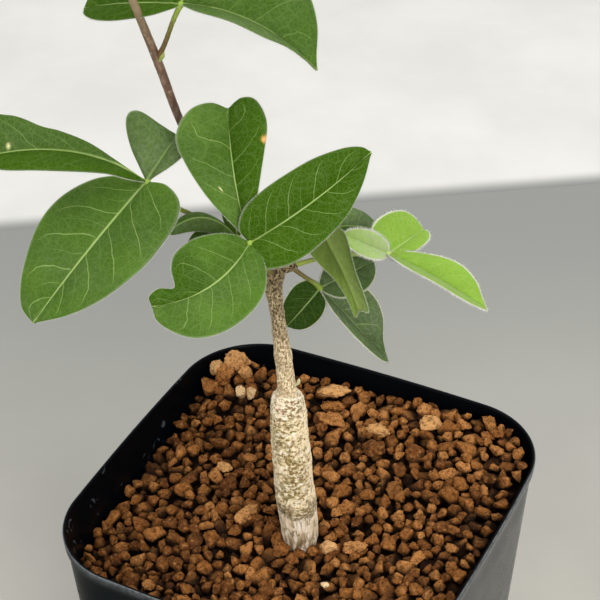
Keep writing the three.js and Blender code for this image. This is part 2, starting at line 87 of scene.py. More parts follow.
# Shares of its radius by which a grain rolls, step by step
ROLLS = (0.8, 0.8, 0.8, 0.5, 0.5, 0.3, 0.3, 0.15)
# Stands for the height of a place that no grain can take
NOWHERE = 1000.0
# Larger stones that lie on the grains: right, back, long, wide, high, turn in degrees, tone
STONES = [
    (-16.4, 49.6, 3.3, 2.6, 3.6, 10, 0.88), (-20.8, 47.4, 1.9, 1.7, 2.8, 20, 0.93),
    (-18.4, 45.4, 2.2, 2.0, 2.2, 0, 0.76), (-13.8, 45.0, 2.2, 1.6, 1.6, 10, 0.86),
    (-14.9, 39.5, 1.45, 1.4, 1.7, 15, 0.97), (-12.7, 39.7, 1.3, 1.3, 1.6, 80, 0.96),
    (7.8, 37.6, 3.9, 2.1, 1.8, 14, 0.91), (6.6, 27.9, 3.9, 2.0, 1.6, -24, 0.80),
    (7.5, 32.4, 2.9, 1.5, 1.3, -5, 0.68), (18.0, 22.4, 2.7, 1.9, 1.8, -12, 0.91),
    (30.1, 23.6, 2.8, 2.1, 1.9, 8, 0.90), (29.2, 28.6, 2.2, 1.6, 1.5, 30, 0.82),
    (16.5, 16.7, 2.9, 2.0, 1.6, 10, 0.25), (6.5, 8.9, 2.1, 1.9, 1.6, 0, 0.78),
    (5.4, -14.4, 1.8, 2.2, 1.8, 75, 0.93), (10.6, -15.0, 2.9, 1.7, 1.5, 12, 0.83),
    (4.2, -24.0, 0.9, 0.7, 0.7, 0, 1.0), (-13.7, -1.2, 3.9, 1.9, 1.2, 52, 0.84),
    (-18.7, 15.0, 2.1, 1.3, 1.1, -40, 0.90), (-4.8, -14.2, 2.0, 1.6, 1.5, 20, 0.5),
    (-1.2, -15.3, 1.5, 1.3, 1.2, -30, 0.42), (1.9, -14.7, 1.3, 1.2, 1.1, 10, 0.48),
]

# Caudex
TRUNK_DEPTH = -10.5
TRUNK_ROOM = 3.3
BARK_FOOT = 60.0
RING_HEIGHT = 83.5
SHOULDER = 115.0
NECK_FOOT = 118.0
NECK_HEAD = 141.0
SPUR_HEIGHT = 149.0
CAUDEX_SIDES = 120
CAUDEX_STEPS = 430
# The stem from root to crown: middle to the right, height, radius
TRUNK = [
    (1.5, 34, 1.2), (0.6, 40, 2.4), (-0.2, 53, 3.0), (-0.7, 66, 3.0), (-0.9, 71, 3.4),
    (-1.05, 76, 4.0), (-1.3, 81, 4.25), (-2.1, 91, 4.15), (-2.75, 104, 3.9), (-2.95, 110.5, 3.7),
    (-3.0, 113.6, 3.42), (-3.05, 115.1, 3.05), (-3.1, 116.2, 2.35), (-3.15, 117.1, 1.95),
    (-3.3, 120, 1.78), (-3.6, 124.5, 1.65), (-3.75, 126.2, 1.8), (-3.9, 128, 1.6), (-4.3, 132, 1.45),
    (-4.75, 137, 1.3), (-5.1, 141, 1.5), (-5.4, 144.2, 2.0), (-5.3, 147.6, 2.5),
    (-5.2, 149.6, 2.0), (-5.2, 150.3, 1.0),
]
SPUR = [(-5.3, -10.5, 147.8), (-3.4, -10.6, 148.9), (-1.2, -10.4, 149.2), (-0.5, -10.3, 149.3)]
SHOULDER_BUD = [(-1.9, -11.0, 118.4), (-0.9, -11.2, 119.1), (-0.55, -11.3, 120.0), (-0.5, -11.3, 120.5)]
TWIG = [
    (-5.4, -10.2, 148), (-7.6, -7, 152), (-10.8, -3, 154.5), (-15.3, 0, 159.5), (-19.4, 0, 167.6),
    (-23, -1, 178.2), (-26.4, -2, 191.7), (-30, -6, 207.1), (-33.5, -7.5, 220.1), (-36, -7, 233),
]
TWIG_RADII = [1.05, 0.92, 0.88, 0.85, 0.82, 0.82, 0.9, 0.76, 0.78, 0.62]
TWIG_BUD = [(-26.1, -2.4, 191.6), (-25.3, -2.9, 193.0), (-24.95, -3.1, 194.0)]

# Half outlines of a leaflet, from its base at (0, 0) to its tip at (1, 0), both left out: share of
# the length, share of the half width
HEART = [(0.1, 0.13), (0.35, 0.53), (0.65, 0.88), (0.85, 1), (1.02, 0.75), (1.06, 0.35)]
BLUNT = [(0, 0.45), (0.12, 0.85), (0.35, 1), (0.62, 0.9), (0.84, 0.62), (0.96, 0.3)]
LOBED = [(-0.06, 0.33), (-0.03, 0.75), (0.14, 1), (0.38, 0.98), (0.62, 0.8), (0.84, 0.42)]
OVAL = [(0.04, 0.32), (0.18, 0.77), (0.4, 1), (0.62, 0.98), (0.82, 0.75), (0.95, 0.38)]
ROUND = [(0, 0.5), (0.14, 0.88), (0.4, 1), (0.7, 1), (0.92, 0.85), (1.04, 0.45)]
BROAD = [(-0.2, 0.45), (-0.1, 0.8), (0.18, 1), (0.54, 0.98), (0.84, 0.77), (0.98, 0.4)]
TORN = [
    (0.09, 0.42), (0.25, 0.8), (0.43, 1), (0.6, 0.94), (0.7, 0.68), (0.76, 0.3), (0.88, 0.36), (0.98, 0.22),
]
FULL = [(0.04, 0.3), (0.18, 0.74), (0.4, 0.98), (0.62, 0.94), (0.82, 0.69), (0.97, 0.35)]
TAPER = [(0, 0.6), (0.12, 1), (0.35, 0.85), (0.6, 0.52), (0.85, 0.35), (1.05, 0.3)]
SPOON = [(0.16, 0.08), (0.34, 0.3), (0.5, 0.48), (0.62, 0.56), (0.78, 0.88), (0.92, 1)]
FAN = [(0.17, 0.29), (0.36, 0.6), (0.58, 0.86), (0.78, 1), (0.93, 0.98), (1.01, 0.8), (1, 0.4)]
TWIN = [(0, 0.6), (0.12, 1), (0.35, 0.85), (0.6, 0.62), (0.85, 0.55), (1.05, 0.45)]
LONG = [(0.05, 0.2), (0.22, 0.62), (0.42, 0.92), (0.62, 1), (0.8, 0.76), (0.92, 0.3)]
DROP = [(0.04, 0.42), (0.22, 0.9), (0.48, 1), (0.71, 0.88), (0.86, 0.58), (0.95, 0.18)]
DART = [(0.05, 0.35), (0.2, 0.9), (0.42, 1), (0.62, 0.8), (0.78, 0.38), (0.9, 0.14)]

# Each leaf: kind, stalk and leaflets. The stalk's last point is the joint. A leaflet has its tip,
# the way its upper side faces, for its left and right half the outline, the width as a share of the
# length and the fold up from the midrib in degrees, then how far the midrib bows up and to the right.
LEAVES = {
    "leaf_front": (
        "mature",
        [(-5.3, -10.5, 148), (-5.4, -14, 150), (-6, -18, 153), (-8, -21.5, 157.5), (-9.4, -22, 162.6)],
        ((-13, -7, 183.5), (0.05, -0.81, 0.58), (HEART, 0.42, 20), (HEART, 0.33, 34), 0, -0.9),
        ((14.2, -12, 176.3), (-0.05, -0.74, 0.67), (BLUNT, 0.27, 28), (LOBED, 0.27, 8), 0.5, 1),
        ((-28, -33, 156), (0.1, -0.55, 0.83), (ROUND, 0.41, 5), (TORN, 0.42, 25), -0.6, -2.8),
    ),
    "leaf_left": (
        "mature",
        [(-5.3, -10.5, 147.6), (-10.5, -9.6, 150), (-15.5, -7, 154.6), (-21.2, -6, 158.6),
         (-24.4, -8, 162.2), (-29, -14, 171.8)],
        ((-52, -26, 147.4), (-0.38, -0.64, 0.67), (LOBED, 0.34, 6), (FULL, 0.33, 8), 1, 0),
        ((-62.5, -22, 181.5), (0.2, -0.3, 0.93), (LONG, 0.22, 22), (SPOON, 0.225, 30), 4.5, 1.8),
        ((-23, -8, 178.4), (-0.2, -0.8, 0.55), (FAN, 0.95, 5), (FAN, 0.4, 30), 0.3, 0),
    ),
    "leaf_back_left": (
        "deep",
        [(-5.3, -10.5, 148), (-7.6, -11.3, 151.8), (-9.6, -11.5, 154), (-12.2, -11, 156.4)],
        ((-25.6, -14, 159.8), (0.1, -0.75, 0.68), (OVAL, 0.19, 0), (OVAL, 0.25, -65), 0, 3.5),
        ((-22.2, -13, 155.2), (0.1, -0.3, 0.95), (OVAL, 0.42, 16), (OVAL, 0.3, 20), 1, 0),
        ((-12.5, 0, 166.5), (-0.2, -0.7, 0.6), (OVAL, 0.2, 15), (OVAL, 0.2, 15), 0.5, 0),
    ),
    "leaf_back_right": (
        "deep",
        [(-2, -10.4, 149), (-1.9, -10.5, 152.4), (0.9, -11.3, 156.4), (4.6, -12, 158.5)],
        ((11.7, -21, 145.2), (0.3, 0.87, 0.2), (TAPER, 0.30, -4), (TWIN, 0.26, 6), 0.6, 0),
        ((17, 5, 145.5), (0, -0.45, 0.9), (OVAL, 0.17, 28), (OVAL, 0.21, 5), 1.5, 0),
        ((4.5, 8, 157.5), (0, -0.5, 0.85), (OVAL, 0.26, 15), (OVAL, 0.26, 15), 1, 0),
    ),
    "leaf_young": (
        "young",
        [(-2, -10.4, 149), (1, -10.8, 149.9), (6, -10.8, 151.4), (12, -11.2, 152), (17.7, -12, 152.4)],
        ((37, -20, 143.9), (0.15, -0.52, 0.84), (LONG, 0.21, 8), (OVAL, 0.22, 52), 1.2, 0),
        ((25, -6, 154), (0.3, -0.7, 0.66), (BROAD, 0.7, 5), (ROUND, 0.3, 30), 0.3, 0),
        ((8.8, -12.2, 157.4), (-0.17, -0.61, 0.77), (OVAL, 0.28, 20), (OVAL, 0.27, 30), 0.4, 0),
    ),
    "leaf_low_right": (
        "deep",
        [(-2, -10.2, 149), (-0.6, -8.8, 146.4), (1.6, -6.8, 143), (3.2, -5.2, 140.6), (4.2, -4, 138.5)],
        ((-2.9, 0, 125.9), (-0.32, -0.94, -0.12), (OVAL, 0.27, 5), (LOBED, 0.31, 8), 0.6, 0),
        ((18.6, -2, 117.4), (0.45, -0.8, 0.35), (DART, 0.27, 12), (OVAL, 0.14, 50), 0.5, 0),
        ((15.5, 3, 140), (0.2, -0.7, 0.69), (OVAL, 0.33, 15), (OVAL, 0.36, 15), 0.5, 0),
    ),
    "leaf_upper": (
        "mature",
        [(-26.4, -2, 191.7), (-24.6, -3.4, 196), (-22.5, -5, 202), (-21, -5, 205)],
        ((4, -14, 195.5), (0.14, -0.56, 0.82), (DROP, 0.42, 12), (DART, 0.2, 45), 3, -1.6),
        ((-40.5, 7.5, 198), (-0.24, -0.47, 0.85), (OVAL, 0.2, 20), (OVAL, 0.34, 15), 1, 0),
        ((-16.5, 10, 218), (0, -0.8, 0.6), (HEART, 0.38, 14), (HEART, 0.38, 14), -1, 0),
    ),
    "leaf_top_left": (
        "mature",
        [(-33.5, -7.5, 220.1), (-38, -9, 224.5), (-44, -10.6, 229.5), (-50, -12, 232)],
        ((-71, -19, 227), (0.1, -0.3, 0.95), (OVAL, 0.34, 18), (OVAL, 0.34, 18), 2.5, 0),
        ((-56, -29, 233), (-0.2, -0.2, 0.95), (LOBED, 0.36, 14), (LOBED, 0.36, 14), 1.5, 0),
        ((-60, 8, 237), (0.1, -0.3, 0.95), (HEART, 0.36, 16), (HEART, 0.36, 16), 1.5, 0),
    ),
    "leaf_top": (
        "young",
        [(-36, -7, 233), (-35.6, -6.9, 238), (-34, -6.5, 243)],
        ((-20, -15, 248), (0, -0.3, 0.95), (LONG, 0.3, 30), (LONG, 0.3, 30), 1, 0),
        ((-35, 6, 251), (0, -0.3, 0.95), (OVAL, 0.34, 25), (OVAL, 0.34, 25), 0.8, 0),
        ((-45, -15, 248), (0, -0.3, 0.95), (OVAL, 0.34, 28), (OVAL, 0.34, 28), 0.8, 0),
    ),
}
# Leaves whose green differs from that of their slot
LOOKS = {"leaf_back_left": "mature", "leaf_back_right": "mature"}
# The left and right half of a leaflet: how much painted shade darkens it, how grey it is with down and
# painted sheen, how plain its veins show
USUAL_TONES = ((0.35, 0.2, 0.8), (0.35, 0.2, 0.8))
TONES = {
    ("leaf_front", 0): ((0.3, 0.3, 0.8), (0.85, 0.0, 0.6)),
    ("leaf_front", 1): ((1.05, 0.0, 0.8), (1.1, 0.0, 0.7)),
    ("leaf_front", 2): ((0.3, 0.3, 0.8), (0.45, 0.2, 0.7)),
    ("leaf_left", 0): ((0.4, 0.3, 1.0), (0.4, 0.3, 1.0)),
    ("leaf_left", 1): ((1.2, 0.0, 0.25), (1.1, 0.3, 0.6)),
    ("leaf_left", 2): ((1.0, 0.9, 0.25), (0.9, 0.9, 0.2)),
    ("leaf_upper", 0): ((0.8, 0.25, 0.35), (0.5, 0.7, 0.2)),
    ("leaf_upper", 1): ((0.9, 0.0, 0.5), (0.8, 0.0, 0.5)),
    ("leaf_back_left", 0): ((-0.4, 0.9, 0.5), (-0.6, 0.3, 0.3)),
    ("leaf_back_left", 1): ((0.1, 0.2, 0.4), (0.3, 0.2, 0.4)),
    ("leaf_back_right", 0): ((0.8, 0.2, 0.1), (0.5, 0.6, 0.1)),
    ("leaf_back_right", 1): ((0.5, 0.9, 0.5), (1.0, 0.0, 0.3)),
    ("leaf_young", 0): ((0.25, 0.05, 0.5), (0.5, 0.0, 0.4)),
    ("leaf_young", 1): ((0.35, 0.05, 0.6), (0.35, 0.05, 0.6)),
    ("leaf_young", 2): ((0.0, 2.6, 0.2), (0.0, 2.3, 0.2)),
    ("leaf_low_right", 0): ((1.1, 0.0, 0.5), (1.0, 0.0, 0.5)),
    ("leaf_low_right", 1): ((0.05, 1.1, 1.2), (0.1, 1.1, 0.8)),
    ("leaf_low_right", 2): ((0.3, 0.8, 0.6), (0.3, 0.7, 0.6)),
}
# How much painted shade a leaflet's left and right half gain towards the tip; a negative amount takes
# painted shade away there
TIP_PAINTED_SHADE = {("leaf_front", 2): (0.0, 1.1), ("leaf_back_right", 0): (-1.1, -0.2)}
# Leaflets whose midrib stands out broad and pale
BROAD_RIBS = {("leaf_left", 1): 1.6, ("leaf_left", 2): 1.5, ("leaf_left", 0): 1.2}
# Small marks: leaflet, place along it, place across it, radius, brown or pale
BLEMISHES = {
    "leaf_front": [(0, 0.72, 0.97, 0.9, "brown"), (0, 0.42, -0.42, 0.42, "pale")],
    "leaf_left": [(1, 0.765, 0.14, 0.62, "pale")],
}
BLADE_ROWS = 64
HALF_COLUMNS = 22
BLADE_START = 0.006
BLADE_END = 0.994
BLADE_THICKNESS = 0.36
VEIN_PAIRS = 5.0
STALK_RADII = [0.75, 0.5, 0.46, 0.5, 0.62]
STALK_SIDES = 16
STALK_STEPS = 60
KNOB_RADIUS = 0.66
# Hairs: length and girth on each kind of leaf, then the angles of a hair's three sides in radians
HAIRS = {"mature": (0.38, 0.03), "deep": (0.55, 0.065), "young": (0.85, 0.08)}
HAIR_ANGLES = (0, 2.09, 4.19)
HAIR_SPACING = 0.07
HAIR_SPREAD = 0.35

# Blades: usual green, deep green, veins, roughness, then how far the net, the edge and a sheen show
BLADE_LOOKS = {
    "mature_top": ((0.072, 0.168, 0.006), (0.045, 0.118, 0.002), (0.33, 0.46, 0.155), 0.46, 0.2, 0.14, 0.0),
    "mature_under": ((0.17, 0.26, 0.045), (0.13, 0.205, 0.03), (0.30, 0.42, 0.12), 0.6, 0.3, 0.3, 0.0),
    # The deep looks are darker greens: painted shade for the leaf that hangs low under the others
    "deep_top": ((0.048, 0.115, 0.013), (0.028, 0.075, 0.006), (0.34, 0.48, 0.18), 0.46, 0.16, 0.85, 0.0),
    "deep_under": ((0.15, 0.23, 0.05), (0.11, 0.17, 0.03), (0.32, 0.44, 0.15), 0.6, 0.4, 0.8, 0.0),
    "young_top": ((0.26, 0.44, 0.055), (0.21, 0.38, 0.04), (0.46, 0.62, 0.20), 0.55, 0.25, 0.8, 0.2),
    "young_under": ((0.32, 0.45, 0.12), (0.26, 0.39, 0.09), (0.50, 0.62, 0.26), 0.6, 0.3, 0.8, 0.2),
}
# Stalks: colour of the foot and of the head
STALK_LOOKS = {
    "mature_stalk": ((0.14, 0.085, 0.03), (0.26, 0.40, 0.045)),
    "deep_stalk": ((0.16, 0.12, 0.035), (0.30, 0.45, 0.06)),
    "young_stalk": ((0.26, 0.33, 0.05), (0.42, 0.56, 0.16)),
}
# Grey of the leaves' down, which also stands for their painted sheen
DOWN_AND_SHEEN_COLOUR = (0.42, 0.45, 0.36)
BLADE_EDGE_COLOUR = (0.62, 0.68, 0.46)
BROWN_MARK_COLOUR = (0.72, 0.40, 0.12)
PALE_MARK_COLOUR = (0.80, 0.78, 0.42)

# Camera, stage and light
LENS = 114.0
CAMERA_LIFT = math.radians(36.3)
CAMERA_ROLL = math.radians(-1.15)
CAMERA_DISTANCE = 400.0
CAMERA_AIM = 132.6
SHEET_SIZE = 4000.0
FLOOR_COLOUR = (0.50, 0.493, 0.45)
# Painted shade: the floor darkens to this colour between these distances behind the plant
FLOOR_SHADED_BEHIND = (0.292, 0.302, 0.292)
FLOOR_SHADE_FADE = (20.0, 230.0)
BOARD_COLOUR = (0.82, 0.825, 0.805)
BOARD_BACK = 236.0
BOARD_LIFT = 0.05
BOARD_BLUR = 9.0
BOARD_TURN = math.radians(6.05)
SKY_COLOUR = (1.0, 0.99, 0.97)
SKY_STRENGTHS = (0.2, 1.1)
# Softboxes: place, height that they aim at, size in metres, power and colour
SOFTBOXES = {
    "key_softbox": ((280, -330, 830), 110, 0.5, 2.4, (1.0, 0.97, 0.92)),
    "left_softbox": ((-560, -240, 420), 110, 0.5, 1.2, (1.0, 0.97, 0.93)),
    "front_softbox": ((260, -760, 430), 100, 0.4, 3.6, (1.0, 0.95, 0.88)),
}


def unit(vector):
    vector = np.asarray(vector, float)
    return vector / np.linalg.norm(vector, axis=-1, keepdims=True)


def turned(points, angle):
    """Points turned about Z."""
    cos, sin = math.cos(angle), math.sin(angle)
    return points @ np.array([[cos, sin, 0], [-sin, cos, 0], [0, 0, 1]])


def from_plant(points):
    """Points in the plant's axes, in millimetres, to points in the frame, in metres."""
    return turned(np.asarray(points, float), PLANT_TURN) * MM


def plant_axes(x, y):
    """How far right and how far back, in the plant's axes, a place in the frame lies."""
    cos, sin = math.cos(PLANT_TURN), math.sin(PLANT_TURN)
    return x * cos + y * sin, y * cos - x * sin


def smooth_path(points, shares):
    """Points of a smooth curve through the given ones, at shares of its run."""
    points = np.asarray(points, float)
    last = len(points) - 1
    place = np.clip(np.asarray(shares, float), 0, 1) * last
    index = np.minimum(place.astype(int), last - 1)
    t = (place - index)[:, None]
    before = points[np.maximum(index - 1, 0)]
    start, end = points[index], points[index + 1]
    after = points[np.minimum(index + 2, last)]
    leave, arrive = (end - before) / 2, (after - start) / 2
    return (
        (2 * start - 2 * end + leave + arrive) * t**3
        + (3 * end - 3 * start - 2 * leave - arrive) * t**2
        + leave * t
        + start
    )


def smooth_step(low, high, value):
    t = np.clip((value - low) / (high - low), 0, 1)
    return t * t * (3 - 2 * t)


def lumps(points, scale, seed=0.0):
    """Smooth noise about -1 to 1 at each point, with features about scale long."""
    flat = np.asarray(points, float).reshape(-1, 3) / scale + seed
    values = [noise.noise(p) for p in flat.tolist()]
    return np.array(values).reshape(np.shape(points)[:-1])


def circle(sides):
    """Points of a circle of radius 1 about Z."""
    angles = np.linspace(0, 2 * math.pi, sides, endpoint=False)
    return np.stack([np.cos(angles), np.sin(angles), np.zeros(sides)], -1)


def new_object(name, data):
    thing = bpy.data.objects.new(name, data)
    bpy.context.scene.collection.objects.link(thing)
    return thing


def new_mesh(name, points, faces, materials=()):
    """A mesh of points in metres."""
    mesh = bpy.data.meshes.new(name)
    mesh.from_pydata(np.asarray(points).reshape(-1, 3).tolist(), [], [list(face) for face in faces])
    for material in materials:
        mesh.materials.append(material)
    return mesh


def new_piece(name, points, faces, materials, slot, replaced=(), values=None, face_materials=None):
    """A smooth-shaded mesh of points in metres, which rides on the frame."""
    mesh = new_mesh(name, points, faces, materials)
    mesh.polygons.foreach_set("use_smooth", [True] * len(mesh.polygons))
    if face_materials is not None:
        mesh.polygons.foreach_set("material_index", face_materials)
    for label, data in (values or {}).items():
        attribute = mesh.attributes.new(label, "FLOAT", "POINT")
        attribute.data.foreach_set("value", np.asarray(data, np.float32).ravel())
    mesh.update()
    piece = new_object(name, mesh)
    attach(piece, "root")
    if replaced:
        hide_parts(*replaced)
    return piece


def grid_faces(rows, columns, first=0, closed=False, flipped=False):
    """Quads of a grid of points, with its columns joined into a ring if closed."""
    row, column = np.meshgrid(np.arange(rows - 1), np.arange(columns - (not closed)), indexing="ij")
    nearer = first + row * columns + column
    beside = first + row * columns + (column + 1) % columns
    corners = [nearer, beside, beside + columns, nearer + columns]
    if flipped:
        corners.reverse()
    return np.stack(corners, -1).reshape(-1, 4)


def capped_faces(rows, sides, first=0):
    """Faces of a tube made of rings of points, with its two ends."""
    faces = grid_faces(rows, sides, first, closed=True).tolist()
    faces.append([first + i for i in range(sides)][::-1])
    faces.append([first + (rows - 1) * sides + i for i in range(sides)])
    return faces


def ringed_piece(name, rings, *look):
    """A piece whose skin is rings of points, closed at both ends."""
    return new_piece(name, rings, capped_faces(*rings.shape[:2]), *look)


def copied_faces(faces, count, size):
    """The faces of count like shapes of size points each."""
    return (faces[None] + (np.arange(count) * size)[:, None, None]).reshape(-1, 3)


class Shader:
    """One node material, made with short calls that each return a socket."""

    def __init__(self, name):
        self.material = bpy.data.materials.new(name)
        self.material.use_nodes = True
        self.tree = self.material.node_tree
        self.place = self.node("ShaderNodeTexCoord").outputs["Object"]

    def node(self, kind, inputs=None, **settings):
        node = self.tree.nodes.new(kind)
        for key, value in settings.items():
            setattr(node, key, value)
        self.feed(node, inputs or {})
        return node

    def feed(self, node, inputs):
        """Links the values that are sockets to a node's inputs, and sets the others there."""
        for key, value in inputs.items():
            socket = node.inputs[key]
            if isinstance(value, bpy.types.NodeSocket):
                self.tree.links.new(value, socket)
            else:
                socket.default_value = (*value, 1) if socket.type == "RGBA" else value

    def finish(self, **inputs):
        """Sets the surface and returns the material."""
        named = {key.replace("_", " "): value for key, value in inputs.items()}
        self.feed(self.tree.nodes["Principled BSDF"], named)
        return self.material

    def value(self, label):
        return self.node("ShaderNodeAttribute", attribute_name=label).outputs["Fac"]

    def position(self, axis):
        """How far along an axis, in metres."""
        return self.node("ShaderNodeSeparateXYZ", {0: self.place}).outputs[axis]

    def math(self, operation, *terms):
        return self.node("ShaderNodeMath", dict(enumerate(terms)), operation=operation).outputs[0]

    def times(self, *terms):
        return reduce(partial(self.math, "MULTIPLY"), terms)

    def plus(self, *terms):
        return reduce(partial(self.math, "ADD"), terms)

    def off_middle(self, value):
        """How far a value of 0 to 1 is from one half."""
        return self.math("ABSOLUTE", self.math("SUBTRACT", value, 0.5))

    def fade(self, value, low, high, start=0.0, end=1.0):
        """Goes smoothly from start to end as the value goes from low to high."""
        inputs = {"Value": value, "From Min": low, "From Max": high, "To Min": start, "To Max": end}
        return self.node("ShaderNodeMapRange", inputs, interpolation_type="SMOOTHSTEP").outputs["Result"]

    def noise(self, size, detail=3.0, roughness=0.55, stretch=(1, 1, 1)):
        """Noise with features about size millimetres long."""
        vector = self.node("ShaderNodeMapping", {"Vector": self.place, "Scale": stretch}).outputs[0]
        inputs = {"Vector": vector, "Scale": 1 / (size * MM), "Detail": detail, "Roughness": roughness}
        return self.node("ShaderNodeTexNoise", inputs).outputs["Fac"]

    def cells(self, size, feature="DISTANCE_TO_EDGE"):
        """Distance from the edge, or with F1 from the middle, of cells of about that size."""
        inputs = {"Vector": self.place, "Scale": 1 / (size * MM)}
        return self.node("ShaderNodeTexVoronoi", inputs, feature=feature).outputs["Distance"]

    def ramp(self, value, *stops):
        node = self.node("ShaderNodeValToRGB", {"Fac": value})
        elements = node.color_ramp.elements
        while len(elements) < len(stops):
            elements.new(0.5)
        for element, (position, colour) in zip(elements, stops):
            element.position = position
            element.color = (*colour, 1)
        return node.outputs["Color"]

    def paint(self, colour, *coats):
        """A colour under coats: each has a colour and its share, or a colour, a value and its fade."""
        for cover, value, *limits in coats:
            share = self.fade(value, *limits) if limits else value
            inputs = {0: share, 6: colour, 7: cover}
            colour = self.node("ShaderNodeMix", inputs, data_type="RGBA").outputs[2]
        return colour

    def bump(self, height, depth, normal=None):
        """A normal from a height of 0 to 1, where 1 stands depth millimetres high."""
        inputs = {"Height": height, "Distance": depth * MM, "Strength": 1.0}
        if normal is not None:
            inputs["Normal"] = normal
        return self.node("ShaderNodeBump", inputs).outputs["Normal"]


def darker(colour, share):
    return tuple(share * part for part in colour)


# Materials

def blade_material(name, base, deep, vein, roughness, net_strength, edge_strength, sheen):
    """Green blade with pale midrib, looping side veins and a fine net between them."""
    shader = Shader(name)
    reach = shader.math("ABSOLUTE", shader.value("side"))
    off_line = shader.off_middle(shader.math("FRACT", shader.value("vein")))
    main, between = (
        shader.times(shader.fade(off_line, *line), shader.fade(reach, *ends, 1.0, 0.0))
        for line, ends in (((0.005, 0.027, 1.0, 0.0), (0.7, 0.93)), ((0.480, 0.494, 0.0, 0.4), (0.2, 0.75)))
    )
    side_vein = shader.times(shader.math("MAXIMUM", main, between), shader.value("veined"))
    rib_width = shader.times(shader.fade(shader.value("along"), 0.0, 1.0, 0.40, 0.19), shader.value("broad"))
    from_rib = shader.math("DIVIDE", shader.math("ABSOLUTE", shader.value("across")), rib_width)
    rib = shader.times(shader.fade(from_rib, 0.35, 1.0, 1.0, 0.0), shader.value("ribbed"))
    wide_net = shader.fade(shader.cells(2.1), 0.0, 0.06, 0.6, 0.0)
    fine_net = shader.fade(shader.cells(0.75), 0.0, 0.13, 0.45, 0.0)
    net = shader.math("MAXIMUM", wide_net, fine_net)
    downy_sheen = shader.fade(shader.noise(0.7), 0.3, 0.7, 0.09, 0.21)
    green = shader.paint(
        deep,
        (base, shader.noise(9.0, 4.0), 0.3, 0.7),
        # Painted shade: the shade value darkens each leaflet half towards a deeper green
        (darker(deep, 0.62), shader.value("painted_shade"), 0.0, 1.0, 0.0, 0.8),
        (deep, shader.times(shader.noise(0.45, 2.0), 0.35)),
        # Grey down, with painted sheen on the leaflet halves that face the bright sky
        (DOWN_AND_SHEEN_COLOUR, shader.times(shader.value("down"), downy_sheen)),
        (vein, shader.times(net, net_strength)),
        (vein, shader.times(side_vein, 0.6)),
        (vein, shader.times(rib, 0.95)),
        (BLADE_EDGE_COLOUR, reach, 0.955, 0.99, 0.0, edge_strength),
        (BROWN_MARK_COLOUR, shader.value("brown")),
        (PALE_MARK_COLOUR, shader.value("pale")),
    )
    relief = shader.plus(shader.times(net, -0.5), shader.noise(0.5))
    return shader.finish(
        Base_Color=green, Normal=shader.bump(relief, 0.05),
        Roughness=shader.fade(shader.noise(1.2), 0.3, 0.7, roughness - 0.06, roughness + 0.08),
        Subsurface_Weight=0.35, Subsurface_Radius=(0.5, 1.0, 0.08), Subsurface_Scale=0.0008,
        Specular_IOR_Level=0.04, Sheen_Weight=sheen, Sheen_Roughness=0.5,
    )


def plain_material(name, colour, roughness=0.5):
    shader = Shader(name)
    tint = shader.paint(colour, (darker(colour, 0.75), shader.noise(3.0)))
    return shader.finish(Base_Color=tint, Roughness=roughness)


def stalk_material(name, foot, head):
    """Leaf stalk whose colour runs from foot to head, with short fine streaks."""
    shader = Shader(name)
    streak = shader.noise(0.35, 3.0, 0.6, (1, 1, 0.3))
    patchy = shader.plus(shader.value("along"), shader.fade(streak, 0.3, 0.7, -0.15, 0.15))
    return shader.finish(
        Base_Color=shader.paint(foot, (head, patchy, 0.3, 1.0)), Roughness=0.5,
        Normal=shader.bump(streak, 0.04),
        Subsurface_Weight=0.1, Subsurface_Radius=(0.5, 1.0, 0.2), Subsurface_Scale=0.0005,
    )


